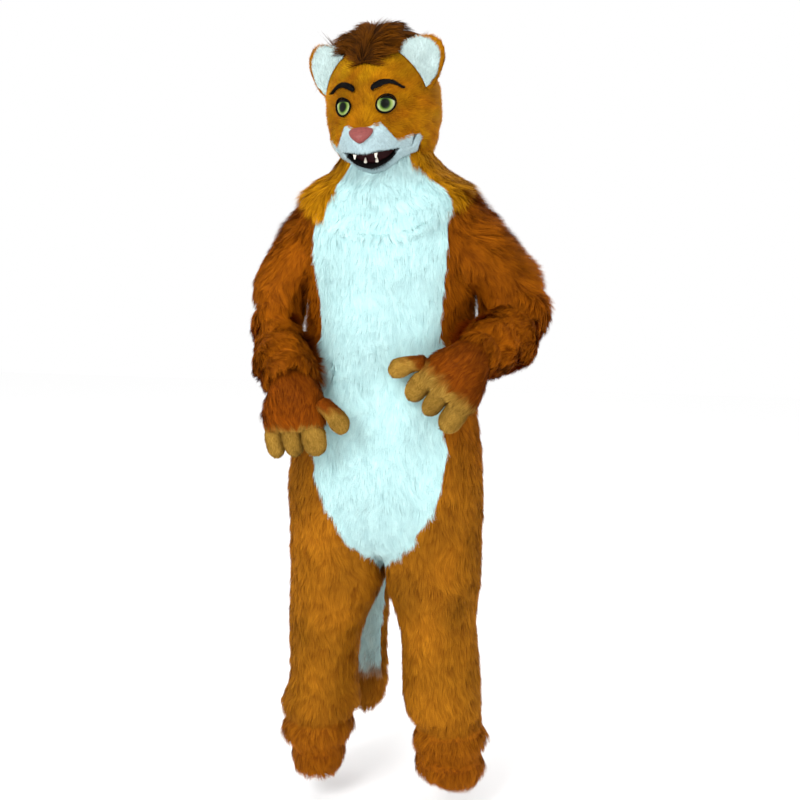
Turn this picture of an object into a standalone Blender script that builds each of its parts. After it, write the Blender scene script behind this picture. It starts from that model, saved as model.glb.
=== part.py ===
"""Lion costume of long-pile fur, worn and hollow: bodysuit, mask head with bib, paw gloves and tail.

Metres, +Z up, the front facing -Y and the wearer's left at +X. The origin is between the wearer's
shoulders, where the suit hangs. Heights in the tables are above the floor that the wearer stands on.
Every wall is made from one surface function per garment part, read once for its outer face and once,
moved in by the wall's thickness, for its inner face, so pieces that meet share their seam exactly.
"""

import math

import bmesh
import bpy
from mathutils import Matrix, Vector

ORIGIN_ABOVE_FLOOR = 1.44
SEAM = 0.0003

LONG_PILE = 0.010
HEAD_WALL = 0.014
BIB_PILE = 0.008
GLOVE_WALL = 0.007
PATCH_GAP = 0.0004

LEFT = 1
RIGHT = -1

GOLD = (0.40, 0.17, 0.018, 1.0)
RUST = (0.28, 0.085, 0.012, 1.0)
WHITE = (0.80, 0.86, 0.85, 1.0)
TAN = (0.36, 0.20, 0.07, 1.0)
BROWN_HAIR = (0.10, 0.035, 0.006, 1.0)
BLACK = (0.012, 0.011, 0.010, 1.0)
NOSE_PINK = (0.40, 0.12, 0.09, 1.0)
EYE_GREEN = (0.42, 0.48, 0.06, 1.0)
TOOTH_WHITE = (0.85, 0.83, 0.76, 1.0)

# Torso sections, from the crotch to the neck edge: height, half width, depth to the front and to the
# back, and how far the section's middle stands to the wearer's left.
# Columns: height, half_width, front, back, lean.
TORSO = [
    (0.40, 0.222, 0.120, 0.135, 0.000),
    (0.575, 0.226, 0.132, 0.148, 0.000),
    (0.64, 0.227, 0.142, 0.156, 0.000),
    (0.70, 0.228, 0.149, 0.160, 0.000),
    (0.78, 0.229, 0.154, 0.160, 0.000),
    (0.86, 0.225, 0.157, 0.152, 0.002),
    (0.94, 0.212, 0.158, 0.144, 0.005),
    (1.02, 0.199, 0.156, 0.139, 0.009),
    (1.10, 0.190, 0.153, 0.138, 0.012),
    (1.18, 0.188, 0.150, 0.141, 0.014),
    (1.26, 0.197, 0.148, 0.145, 0.015),
    (1.34, 0.210, 0.145, 0.145, 0.015),
    (1.40, 0.213, 0.137, 0.140, 0.015),
    (1.44, 0.202, 0.128, 0.132, 0.015),
    (1.468, 0.172, 0.117, 0.121, 0.014),
    (1.49, 0.140, 0.107, 0.110, 0.013),
    (1.51, 0.113, 0.099, 0.100, 0.012),
    (1.53, 0.097, 0.092, 0.092, 0.012),
    (1.56, 0.092, 0.088, 0.088, 0.012),
]

# Leg sections, hem to crotch: height, then how far the middle stands to the side and the half width
# of each leg. The elastic gathers the cloth above each ankle into two rolls.
# Columns: height, right_middle, right_half, left_middle, left_half.
LEGS = [
    (0.080, 0.170, 0.056, 0.168, 0.056),
    (0.105, 0.169, 0.061, 0.161, 0.074),
    (0.130, 0.168, 0.067, 0.155, 0.084),
    (0.152, 0.168, 0.066, 0.153, 0.074),
    (0.182, 0.169, 0.087, 0.156, 0.086),
    (0.207, 0.166, 0.083, 0.156, 0.084),
    (0.224, 0.163, 0.075, 0.153, 0.074),
    (0.255, 0.160, 0.097, 0.142, 0.089),
    (0.295, 0.155, 0.084, 0.137, 0.091),
    (0.350, 0.151, 0.081, 0.135, 0.091),
    (0.420, 0.147, 0.086, 0.131, 0.089),
    (0.480, 0.136, 0.096, 0.124, 0.093),
    (0.540, 0.121, 0.107, 0.117, 0.105),
    (0.575, 0.115, 0.112, 0.115, 0.112),
    (0.700, 0.115, 0.113, 0.115, 0.113),
]
LEG_DEPTH_SHARE = 1.12
CROTCH_LOW = 0.575
CROTCH_HIGH = 0.700
CROTCH_LIFT = 0.8

# The heights where every body panel has a row of points.
SUIT_ROWS = (
    [row[0] for row in LEGS[:-2]]
    + [0.575, 0.600, 0.630, 0.662, 0.700, 0.760, 0.830, 0.900, 0.965, 1.030, 1.095, 1.155]
    + [1.210, 1.245, 1.285, 1.325, 1.365, 1.405, 1.440]
    + [1.468, 1.490, 1.510, 1.530]
)
PANEL_COLUMNS = 7

# Wide shallow folds of the suit: height, turn from the side line to the front in shares of a quarter
# turn, depth (out is positive), half height and half spread, and how steeply the fold falls.
# Columns: height, turn, depth, half_height, half_turn, slope.
SUIT_FOLDS = [
    (0.720, 0.55, -0.006, 0.022, 0.30, 0.10),
    (0.680, 0.45, 0.006, 0.024, 0.30, 0.10),
    (0.900, 0.30, -0.005, 0.020, 0.35, -0.06),
    (1.060, 0.25, -0.006, 0.020, 0.30, 0.05),
    (1.020, 0.25, 0.006, 0.024, 0.30, 0.05),
    (1.120, 0.95, 0.004, 0.050, 0.30, 0.00),
    (0.800, -0.55, -0.007, 0.022, 0.35, 0.08),
    (0.755, -0.50, 0.007, 0.026, 0.35, 0.08),
    (1.080, -0.60, -0.006, 0.024, 0.40, -0.05),
    (1.040, -0.60, 0.006, 0.026, 0.40, -0.05),
    (0.480, 0.50, -0.004, 0.020, 0.35, 0.06),
    (0.380, 0.60, 0.004, 0.024, 0.40, -0.04),
    (0.440, -0.50, -0.005, 0.020, 0.40, 0.05),
]

# Edges of the white belly panel, as shares of the quarter turn from the side line, where 1 is the
# middle of the front. It ends in a point at the crotch and hangs a little askew.
# Columns: height, right, left.
BELLY_EDGE = [
    (0.600, 0.970, 0.950),
    (0.630, 0.945, 0.870),
    (0.662, 0.885, 0.790),
    (0.700, 0.815, 0.725),
    (0.760, 0.720, 0.605),
    (0.830, 0.600, 0.515),
    (0.900, 0.565, 0.480),
    (0.965, 0.550, 0.480),
    (1.030, 0.535, 0.480),
    (1.285, 0.505, 0.505),
    (1.440, 0.520, 0.530),
    (1.530, 0.560, 0.560),
]

ARMPIT = 1.245
SHOULDER = 1.440
ARMHOLE_TURN = 0.42

# The arms: middle of the armhole, elbow and wrist, relative to the body's middle, at floor heights.
ARM_ROUTE = {
    LEFT: (Vector((0.212, 0.000, 1.365)), Vector((0.312, 0.030, 1.165)), Vector((0.242, -0.182, 1.117))),
    RIGHT: (Vector((-0.188, 0.000, 1.355)), Vector((-0.258, -0.030, 1.175)), Vector((-0.160, -0.208, 1.056))),
}
ELBOW_ROUNDING = 0.105

# Sleeve sections: share of the arm's length, half size across the body and half size front to back.
# Columns: share, across, along.
SLEEVE = {
    LEFT: [
        (0.00, 0.070, 0.080),
        (0.20, 0.080, 0.084),
        (0.36, 0.076, 0.080),
        (0.50, 0.074, 0.078),
        (0.64, 0.072, 0.074),
        (0.80, 0.069, 0.069),
        (1.00, 0.0565, 0.0547),
    ],
    RIGHT: [
        (0.00, 0.064, 0.080),
        (0.20, 0.064, 0.080),
        (0.36, 0.056, 0.076),
        (0.50, 0.056, 0.072),
        (0.64, 0.060, 0.070),
        (0.80, 0.065, 0.069),
        (1.00, 0.0613, 0.0620),
    ],
}
SLEEVE_SHARES = (
    0.0, 0.05, 0.11, 0.18, 0.25, 0.31, 0.36, 0.41, 0.46, 0.51,
    0.56, 0.61, 0.67, 0.74, 0.81, 0.87, 0.92, 0.96, 1.0,
)
SLEEVE_SETTLE = 0.36
ARMHOLE_OUTWARD = 0.65
ARMHOLE_DOWNWARD = -0.76

# Sleeve folds: share of the arm's length, turn (0 inner side, 90 front of the upper arm, 180 outer
# side), depth, half length as a share and half spread in degrees.
# Columns: share, turn, depth, half_share, half_turn.
SLEEVE_FOLDS = {
    LEFT: [
        (0.30, 180, 0.010, 0.040, 70),
        (0.37, 170, -0.009, 0.024, 80),
        (0.46, 185, 0.011, 0.045, 80),
        (0.46, 60, -0.007, 0.026, 60),
        (0.56, 200, -0.008, 0.024, 80),
        (0.66, 215, 0.008, 0.040, 70),
        (0.76, 200, -0.006, 0.022, 80),
        (0.86, 210, 0.006, 0.036, 90),
        (0.93, 180, -0.007, 0.018, 180),
        (0.22, 60, -0.005, 0.030, 50),
        (0.52, 10, -0.012, 0.200, 60),
    ],
    RIGHT: [
        (0.26, 170, 0.006, 0.040, 70),
        (0.36, 180, 0.012, 0.036, 80),
        (0.43, 165, -0.011, 0.022, 95),
        (0.50, 175, 0.007, 0.034, 70),
        (0.62, 180, -0.005, 0.024, 70),
        (0.72, 150, -0.009, 0.022, 90),
        (0.80, 180, 0.013, 0.034, 90),
        (0.88, 150, -0.008, 0.020, 90),
        (0.95, 180, 0.004, 0.020, 120),
        (0.20, 70, -0.005, 0.030, 50),
        (0.55, 15, -0.010, 0.200, 60),
    ],
}

# The mask head: its middle, how far it turns and tips, and the half sizes of its skull.
HEAD_MIDDLE = Vector((0.000, -0.012, 1.655))
HEAD_TURN = math.radians(-4.0)
HEAD_TIP = math.radians(-3.5)
SKULL_SIDE = 0.125
SKULL_FRONT = 0.134
SKULL_BACK = 0.150
SKULL_TOP = 0.140
SKULL_BOTTOM = 0.185

# Raised forms of the head: turn from the front, rise above level, height, half turn and half rise in
# degrees. Those off the middle are on both sides.
# Columns: turn, rise, height, half_turn, half_rise.
HEAD_FORMS = [
    (0, -33, 0.052, 25, 22),
    (0, -21, 0.010, 15, 10),
    (38, -30, 0.012, 22, 20),
    (17, 9, 0.008, 16, 9),
]

HEAD_COLUMNS = (0, 7, 14, 20, 26, 32, 38, 45, 52, 58, 64, 76, 90, 108, 126, 144, 162, 180)
CROWN = 82
GOLD_ROWS = 9
MOUTH_CORNER = 28
MOUTH_OPEN = 14.5
LIP_RISE = -35.8
LIP_DROP = 3.6
LIP_TURN = 8.0
MUZZLE_END = 52
WHITE_END = 64

# Upper edge of the white muzzle and cheeks: turn from the front and rise above level.
# Columns: turn, rise.
WHITE_EDGE = [
    (0, -20.0),
    (7, -19.6),
    (14, -17.8),
    (20, -24.5),
    (26, -30.5),
    (32, -31.2),
    (38, -30.5),
    (45, -29.6),
    (52, -29.8),
    (58, -35.0),
]
CHIN_RISE = -46.0
CHIN_DROP = 12.0
CHIN_HALF_TURN = 32.0

# Gloves: the hand's direction, the way its back faces, and hand and finger sizes.
HAND_POINTS = {LEFT: Vector((-0.64, -0.10, -0.76)), RIGHT: Vector((0.10, -0.14, -0.98))}
HAND_BACK = {LEFT: Vector((-0.05, -0.99, 0.10)), RIGHT: Vector((-0.22, -0.96, 0.12))}
# Columns: reach, half_width, half_thick.
GLOVE = [
    (-0.050, 0.040, 0.036),
    (-0.020, 0.043, 0.038),
    (0.006, 0.044, 0.038),
    (0.034, 0.056, 0.043),
    (0.058, 0.068, 0.045),
    (0.080, 0.075, 0.043),
    (0.096, 0.074, 0.039),
    (0.106, 0.071, 0.034),
]
GLOVE_SIDES = 16
# Half widths of each paw's fingers, from the far side to the thumb's side.
FINGER_HALF_WIDTHS = {LEFT: (0.0265, 0.0225, 0.0245), RIGHT: (0.0205, 0.0230, 0.0280)}
FINGER_HALF_THICK = 0.0235
FINGER_LENGTH = 0.055
FINGER_SIDES = 12
FINGER_APART = 0.0010
FINGER_SEAT = 0.0005
FINGER_FAN = 0.03
FINGER_FAN_SEAT = 0.0009
FINGER_CURL = {LEFT: 0.42, RIGHT: 0.30}
THUMB_REACH = {LEFT: 0.086, RIGHT: 0.066}
THUMB_ACROSS = {LEFT: 0.45, RIGHT: 0.60}
THUMB_HALF = 0.0235
THUMB_SEAT = {LEFT: 0.0184, RIGHT: 0.0172}

# Tail: middle of each section, its half width and its half depth.
# Columns: x, y, height, half_width, half_depth.
TAIL = [
    (0.000, 0.1568, 0.845, 0.030, 0.030),
    (-0.002, 0.185, 0.838, 0.036, 0.034),
    (-0.012, 0.214, 0.800, 0.044, 0.038),
    (-0.036, 0.240, 0.720, 0.052, 0.043),
    (-0.068, 0.256, 0.620, 0.058, 0.047),
    (-0.100, 0.262, 0.510, 0.061, 0.049),
    (-0.116, 0.258, 0.410, 0.062, 0.050),
    (-0.118, 0.250, 0.320, 0.062, 0.049),
    (-0.112, 0.240, 0.240, 0.059, 0.046),
    (-0.106, 0.232, 0.180, 0.046, 0.036),
    (-0.103, 0.228, 0.150, 0.022, 0.018),
]
TAIL_SIDES = 14

TAIL_WHITE_FIRST = 2
TAIL_WHITE_LAST = 9
TAIL_WHITE_PILE = 0.005

# Hair tuft: columns, rows, how many locks lie side by side, its height and its reach over the crown.
TUFT_COLUMNS = 15
TUFT_ROWS = 9
TUFT_LOCKS = 5
TUFT_HEIGHT = 0.032
TUFT_HALF_WIDTH = 0.088
TUFT_FRONT = -0.124
TUFT_REACH = 0.085
TUFT_SEAT = 0.0015

# Face: places in degrees from the front and above level, heights in metres.
DISC_SIDES = 18
DISC_SHARES = (1.0, 0.8, 0.55, 0.28)
EYE_TURN = 19.8
EYE_RISE = -4.2
EYE_HALF_TURN = 7.8
EYE_HALF_RISE = 6.6
EYE_HEIGHT = 0.008
EYE_SEAT = 0.0024
EYE_SLANT = 0.12
EYE_RIM_SEAT = 0.0032
EYE_RIM_HEIGHT = 0.008
# Columns: share of the eye's size, share of the rim's height.
EYE_RIM_SECTIONS = ((1.03, 0.55), (1.09, 1.0), (1.18, 0.75))
BROW_START = 7.5
BROW_END = 36.0
BROW_RISE = 4.6
BROW_ARC = 9.6
BROW_HALF = 2.9
BROW_HEIGHT = 0.007
BROW_SEAT = 0.0010
BROW_TAPER = 0.72
BROW_BLUNT = 0.55
NOSE_RISE = -23.2
NOSE_HALF_TURN = 8.0
NOSE_HALF_RISE = 4.3
NOSE_TAPER = 0.56
NOSE_HEIGHT = 0.014
NOSE_SEAT = 0.0006
MOUTH_DEPTH = 0.023
LINING_THICK = 0.004
LINING_GAP = 0.0008
LINING_LAP = 2.2
LINING_SHARES = (-1.05, -0.8, -0.5, -0.2, 0.2, 0.5, 0.8, 1.05)
LINING_ROWS = 5
TOOTH_LENGTH = 0.011
TOOTH_RADIUS = 0.0036
TOOTH_SEAT_UPPER = 0.0037
TOOTH_SEAT_LOWER = 0.0050
TOOTH_SIDES = 8
TOOTH_TURN_UPPER = 9.0
TOOTH_TURN_LOWER = 6.5
TOOTH_INSET = 0.55
TOOTH_SECTIONS = ((0.0, 1.0), (0.5, 0.72), (1.0, 0.25))

EAR_TURN = 56.0
EAR_SLANT = 13.0
EAR_RISE = 28.0
EAR_SPAN = 20.0
EAR_SPLAY = math.radians(42.0)
EAR_TALL = 0.075
EAR_CUP = 0.020
EAR_SEAT = 0.0003
EAR_THICK = 0.010
EAR_INNER_THICK = 0.005
EAR_INNER_GAP = 0.0022
EAR_INNER_SHARE = 0.92
EAR_INNER_UPS = (0.10, 0.36, 0.64, 0.92)

# Bib: degrees from the front where white meets gold on each side and where the back piece starts, all
# of them head columns, and the height of the lower edge for each turn from the front.
BIB_WHITE = {LEFT: 45, RIGHT: 32}
BIB_BACK = 126
# Columns: turn, height.
BIB_EDGE = [
    (0.0, 1.368),
    (20.0, 1.378),
    (32.0, 1.402),
    (45.0, 1.428),
    (62.0, 1.450),
    (90.0, 1.480),
    (126.0, 1.440),
    (180.0, 1.395),
]
BIB_TOP = 1.518
BIB_ROWS = 6
BIB_DROP = 0.036
HEAD_SEAT = 0.0008
BIB_CLEAR = 0.0040

# Fingers: share of the length and of the radius for each round section.
FINGER_SECTIONS = ((0.0, 0.90), (0.16, 1.0), (0.42, 0.99), (0.68, 0.95), (0.86, 0.79), (1.0, 0.42))


def clear_scene():
    for thing in list(bpy.data.objects):
        bpy.data.objects.remove(thing, do_unlink=True)


def material(name, colour, roughness):
    made = bpy.data.materials.get(name)
    if made is None:
        made = bpy.data.materials.new(name)
        made.use_nodes = True
        shader = made.node_tree.nodes["Principled BSDF"]
        shader.inputs["Base Color"].default_value = colour
        shader.inputs["Roughness"].default_value = roughness
        shader.inputs["Metallic"].default_value = 0.0
    return made


def smooth_step(low, high, value):
    share = min(max((value - low) / (high - low), 0.0), 1.0)
    return share * share * (3.0 - 2.0 * share)


def read(table, column, at):
    """The table's column at a place between its rows, on a smooth curve through them."""
    keys = [row[0] for row in table]
    if at <= keys[0]:
        return table[0][column]
    if at >= keys[-1]:
        return table[-1][column]
    low = max(i for i, key in enumerate(keys) if key <= at)
    high = low + 1

    def slope(i):
        if i in (0, len(keys) - 1):
            return 0.0
        before = (table[i][column] - table[i - 1][column]) / (keys[i] - keys[i - 1])
        after = (table[i + 1][column] - table[i][column]) / (keys[i + 1] - keys[i])
        if before * after <= 0.0:
            return 0.0
        return 2.0 * before * after / (before + after)

    span = keys[high] - keys[low]
    t = (at - keys[low]) / span
    value = (2 * t**3 - 3 * t**2 + 1) * table[low][column] + (3 * t**2 - 2 * t**3) * table[high][column]
    return value + ((t**3 - 2 * t**2 + t) * slope(low) + (t**3 - t**2) * slope(high)) * span


def bell(distance, half):
    return math.exp(-((distance / half) ** 2))


def turn_apart(first, second):
    """The smaller angle between two directions, in degrees."""
    return abs((first - second + 180.0) % 360.0 - 180.0)


def world(point):
    return Vector((point.x, point.y, point.z - ORIGIN_ABOVE_FLOOR))


def finish_solid(name, mesh_data, skin):
    """Turns faces outward, links the object and gives it its material."""
    bmesh.ops.recalc_face_normals(mesh_data, faces=mesh_data.faces)
    if mesh_data.calc_volume(signed=True) < 0.0:
        bmesh.ops.reverse_faces(mesh_data, faces=mesh_data.faces)
    mesh = bpy.data.meshes.new(name)
    mesh_data.to_mesh(mesh)
    mesh_data.free()
    mesh.shade_smooth()
    mesh.set_sharp_from_angle(angle=math.radians(50.0))
    made = bpy.data.objects.new(name, mesh)
    made.data.materials.append(skin)
    bpy.context.scene.collection.objects.link(made)
    return made


def rim_faces(mesh_data, outer_a, outer_b, inner_a, inner_b):
    """Two triangles across a wall's edge, split from the lower outer point on either side of a seam."""
    if outer_a.co.z <= outer_b.co.z:
        mesh_data.faces.new((outer_a, outer_b, inner_b))
        mesh_data.faces.new((outer_a, inner_b, inner_a))
    else:
        mesh_data.faces.new((outer_a, outer_b, inner_a))
        mesh_data.faces.new((outer_b, inner_b, inner_a))


def pull_in(rows, wrap, ends):
    """Moves a panel's edge points toward the panel by half a seam."""
    half = SEAM / 2.0
    moved = [[point.copy() for point in row] for row in rows]
    last = len(rows) - 1
    for i, row in enumerate(rows):
        if not wrap:
            moved[i][0] += (row[1] - row[0]).normalized() * half
            moved[i][-1] += (row[-2] - row[-1]).normalized() * half
    for j in range(len(rows[0])):
        if "first" in ends:
            moved[0][j] += (rows[1][j] - rows[0][j]).normalized() * half
        if "last" in ends:
            moved[last][j] += (rows[last - 1][j] - rows[last][j]).normalized() * half
    return moved


def wall(name, outer, inner, skin, wrap=False, closed_end=False, ends=("first", "last")):
    """One closed solid between two grids of points of the same size.

    wrap joins the last column to the first, for a tube. closed_end shuts the last row, for a cup.
    """
    outer = pull_in(outer, wrap, ends)
    inner = pull_in(inner, wrap, ends)
    mesh_data = bmesh.new()
    out = [[mesh_data.verts.new(world(point)) for point in row] for row in outer]
    inn = [[mesh_data.verts.new(world(point)) for point in row] for row in inner]
    rows = len(out)
    columns = len(out[0])
    pairs = [(j, (j + 1) % columns) for j in range(columns if wrap else columns - 1)]
    for i in range(rows - 1):
        for j, k in pairs:
            mesh_data.faces.new((out[i][j], out[i][k], out[i + 1][k], out[i + 1][j]))
            mesh_data.faces.new((inn[i][j], inn[i + 1][j], inn[i + 1][k], inn[i][k]))
        if not wrap:
            for j in (0, columns - 1):
                rim_faces(mesh_data, out[i][j], out[i + 1][j], inn[i][j], inn[i + 1][j])
    for j, k in pairs:
        rim_faces(mesh_data, out[0][j], out[0][k], inn[0][j], inn[0][k])
        if not closed_end:
            rim_faces(mesh_data, out[-1][j], out[-1][k], inn[-1][j], inn[-1][k])
    if closed_end:
        for ring in (out[-1], inn[-1]):
            middle = sum((point.co for point in ring), Vector()) / columns
            tip = mesh_data.verts.new(middle)
            for j, k in pairs:
                mesh_data.faces.new((ring[j], ring[k], tip))
    return finish_solid(name, mesh_data, skin)


def lofted(name, rings, skin):
    """One closed solid through rings of points, both ends shut with a fan."""
    mesh_data = bmesh.new()
    made = [[mesh_data.verts.new(world(point)) for point in ring] for ring in rings]
    sides = len(rings[0])
    for lower, upper in zip(made, made[1:]):
        for j in range(sides):
            k = (j + 1) % sides
            mesh_data.faces.new((lower[j], lower[k], upper[k], upper[j]))
    for ring in (made[0], made[-1]):
        tip = mesh_data.verts.new(sum((point.co for point in ring), Vector()) / sides)
        for j in range(sides):
            mesh_data.faces.new((ring[j], ring[(j + 1) % sides], tip))
    return finish_solid(name, mesh_data, skin)


def belly_edge(side, height):
    return read(BELLY_EDGE, 1 if side == RIGHT else 2, height)


def suit_fold(turn, height):
    total = 0.0
    for at, middle, depth, half_height, half_turn, slope in SUIT_FOLDS:
        line = at + slope * (turn - middle)
        total += depth * bell(height - line, half_height) * bell(turn - middle, half_turn)
    return total


def suit_point(side, turn, height, inset=0.0):
    """A point of the suit's surface.

    turn runs from -1 at the middle of the back, or the inseam, over 0 at the side to 1 at the middle
    of the front, or the inseam. inset moves the point into the cloth, and below zero, out of it.
    """
    angle = turn * math.pi / 2.0
    half_width = read(TORSO, 1, height)
    depth_column = 2 if turn >= 0.0 else 3
    depth = read(TORSO, depth_column, height)
    step = 0.004
    slope_wide = (read(TORSO, 1, height + step) - read(TORSO, 1, height - step)) / (2 * step)
    deeper = read(TORSO, depth_column, height + step) - read(TORSO, depth_column, height - step)
    slope_deep = deeper / (2 * step)
    slope = slope_wide * math.cos(angle) ** 2 + slope_deep * math.sin(angle) ** 2
    tilt = math.atan(-slope) * smooth_step(1.30, 1.42, height)
    flat = inset * math.cos(tilt) - suit_fold(turn, height)
    fullness = 1.0 + 0.035 * math.sin(2.0 * angle) ** 2
    torso_x = side * (half_width - flat) * math.cos(angle) * fullness + read(TORSO, 4, height)
    torso_y = -(depth - flat) * math.sin(angle) * fullness
    rise = height - inset * math.sin(tilt)
    share = 1.0 - smooth_step(CROTCH_LOW, CROTCH_HIGH, height)
    if share <= 0.0:
        return Vector((torso_x, torso_y, rise))
    columns = (1, 2) if side == RIGHT else (3, 4)
    middle = read(LEGS, columns[0], height)
    half = read(LEGS, columns[1], height)
    leg_angle = turn * math.pi
    leg_x = side * (middle + (half - flat) * math.cos(leg_angle))
    leg_y = -(half * LEG_DEPTH_SHARE - flat) * math.sin(leg_angle)
    lift = inset * CROTCH_LIFT * 4.0 * share * (1.0 - share) * abs(turn) ** 4
    return Vector((
        torso_x + (leg_x - torso_x) * share,
        torso_y + (leg_y - torso_y) * share,
        rise + lift,
    ))


def armhole_turn(height):
    """How far the armhole's edge stands from the side line at this height."""
    middle = (ARMPIT + SHOULDER) / 2.0
    half = (SHOULDER - ARMPIT) / 2.0
    share = (height - middle) / half
    return ARMHOLE_TURN * math.sqrt(max(0.0, 1.0 - share * share))


def front_rows(side, inset):
    rows = []
    for height in SUIT_ROWS:
        start = armhole_turn(height)
        end = belly_edge(side, height) if height >= BELLY_EDGE[0][0] else 1.0
        turns = [start + (end - start) * j / PANEL_COLUMNS for j in range(PANEL_COLUMNS + 1)]
        rows.append([suit_point(side, turn, height, inset) for turn in turns])
    return rows


def back_rows(side, inset):
    rows = []
    for height in SUIT_ROWS:
        start = armhole_turn(height)
        turns = [-(start + (1.0 - start) * j / PANEL_COLUMNS) for j in range(PANEL_COLUMNS + 1)]
        rows.append([suit_point(side, turn, height, inset) for turn in turns])
    return rows


def belly_rows(inset):
    rows = []
    half_columns = 5
    for height in SUIT_ROWS:
        if height < BELLY_EDGE[0][0]:
            continue
        halves = {}
        for side in (LEFT, RIGHT):
            edge = belly_edge(side, height)
            turns = [edge + (1.0 - edge) * j / half_columns for j in range(half_columns)]
            halves[side] = [suit_point(side, turn, height, inset) for turn in turns]
        middle = (suit_point(LEFT, 1.0, height, inset) + suit_point(RIGHT, 1.0, height, inset)) / 2.0
        rows.append(halves[LEFT] + [middle] + halves[RIGHT][::-1])
    return rows


def make_suit():
    rust = material("rust_fur", RUST, 0.9)
    white = material("white_fur", WHITE, 0.9)
    for side, word in ((LEFT, "left"), (RIGHT, "right")):
        wall(f"front_{word}", front_rows(side, 0.0), front_rows(side, LONG_PILE), rust)
        wall(f"back_{word}", back_rows(side, 0.0), back_rows(side, LONG_PILE), rust)
    wall("belly_panel", belly_rows(0.0), belly_rows(LONG_PILE), white)


class ArmRoute:
    """A route through shoulder, elbow and wrist, rounded at the elbow."""

    def __init__(self, side):
        self.shoulder, self.elbow, self.wrist = ARM_ROUTE[side]
        self.side = side
        upper = self.elbow - self.shoulder
        fore = self.wrist - self.elbow
        self.before = self.elbow - upper.normalized() * ELBOW_ROUNDING
        self.after = self.elbow + fore.normalized() * ELBOW_ROUNDING
        samples = 60
        self.points = [self._raw(i / samples) for i in range(samples + 1)]
        self.lengths = [0.0]
        for a, b in zip(self.points, self.points[1:]):
            self.lengths.append(self.lengths[-1] + (b - a).length)
        self.frames = self._carry_frames()

    def _raw(self, t):
        if t < 0.3:
            return self.shoulder.lerp(self.before, t / 0.3)
        if t > 0.7:
            return self.after.lerp(self.wrist, (t - 0.7) / 0.3)
        share = (t - 0.3) / 0.4
        return self.before.lerp(self.elbow, share).lerp(self.elbow.lerp(self.after, share), share)

    def _carry_frames(self):
        frames = []
        along = (self.points[1] - self.points[0]).normalized()
        front = Vector((0.0, -1.0, 0.0))
        front = (front - along * front.dot(along)).normalized()
        for i in range(len(self.points)):
            here = self.points[min(i + 1, len(self.points) - 1)] - self.points[max(i - 1, 0)]
            here.normalize()
            front = along.rotation_difference(here) @ front
            front = (front - here * front.dot(here)).normalized()
            inner = here.cross(front).normalized() * self.side
            if i == 0 and inner.x * self.side > 0.0:
                self.flip = -1.0
            elif i == 0:
                self.flip = 1.0
            frames.append((here.copy(), front.copy(), inner * self.flip))
            along = here
        return frames

    def at(self, share):
        """Place, direction, front and inner side at this share of the length."""
        target = share * self.lengths[-1]
        i = max(k for k, length in enumerate(self.lengths) if length <= target + 1e-9)
        i = min(i, len(self.points) - 2)
        part = (target - self.lengths[i]) / (self.lengths[i + 1] - self.lengths[i])
        place = self.points[i].lerp(self.points[i + 1], part)
        pairs = zip(self.frames[i], self.frames[i + 1])
        along, front, inner = (a.lerp(b, part).normalized() for a, b in pairs)
        return place, along, front, inner


def armhole_loop(side, inset):
    """The armhole's edge, from the armpit up the front and down the back, with each point's turn."""
    heights = [height for height in SUIT_ROWS if ARMPIT <= height <= SHOULDER]
    front = [suit_point(side, armhole_turn(height), height, inset) for height in heights]
    back = [suit_point(side, -armhole_turn(height), height, inset) for height in heights[1:-1]]
    points = front + back[::-1]
    turns = [360.0 * i / len(points) for i in range(len(points))]
    return points, turns


def sleeve_fold(side, share, turn):
    total = 0.0
    for at, middle, depth, half_share, half_turn in SLEEVE_FOLDS[side]:
        total += depth * bell(share - at, half_share) * bell(turn_apart(turn, middle), half_turn)
    return total


def sleeve_ring(side, route, turns, share, inset):
    """A round section of the sleeve across its route."""
    place, _, front, inner = route.at(share)
    across = read(SLEEVE[side], 1, share) - inset
    along = read(SLEEVE[side], 2, share) - inset
    ring = []
    for turn in turns:
        fold = sleeve_fold(side, share, turn)
        angle = math.radians(turn)
        sideways = inner * (across + fold) * math.cos(angle)
        ring.append(place + sideways + front * (along + fold) * math.sin(angle))
    return ring


def sleeve_rows(side, inset):
    """The sleeve from the armhole's edge, over a smooth curve for each point, to round sections."""
    route = ArmRoute(side)
    loop, turns = armhole_loop(side, inset)
    settled = sleeve_ring(side, route, turns, SLEEVE_SETTLE, inset)
    leave = Vector((side * ARMHOLE_OUTWARD, 0.0, ARMHOLE_DOWNWARD))
    arrive = route.at(SLEEVE_SETTLE)[1]
    rows = []
    for share in SLEEVE_SHARES:
        if share >= SLEEVE_SETTLE:
            rows.append(sleeve_ring(side, route, turns, share, inset))
            continue
        t = share / SLEEVE_SETTLE
        row = []
        for first, last, turn in zip(loop, settled, turns):
            reach = (last - first).length / 3.0
            second = first + leave * reach
            third = last - arrive * reach
            point = (
                first * (1 - t) ** 3
                + second * 3 * t * (1 - t) ** 2
                + third * 3 * t * t * (1 - t)
                + last * t**3
            )
            swell = sleeve_fold(side, share, turn) * t
            row.append(point + (point - route.at(share)[0]).normalized() * swell)
        rows.append(row)
    return rows


def make_sleeves():
    rust = material("rust_fur", RUST, 0.9)
    for side, word in ((LEFT, "left"), (RIGHT, "right")):
        wall(f"sleeve_{word}", sleeve_rows(side, 0.0), sleeve_rows(side, LONG_PILE), rust, wrap=True)


def head_matrix():
    turned = Matrix.Rotation(HEAD_TURN, 3, "Z") @ Matrix.Rotation(HEAD_TIP, 3, "Y")
    return turned


HEAD_PLACED = head_matrix()


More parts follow.
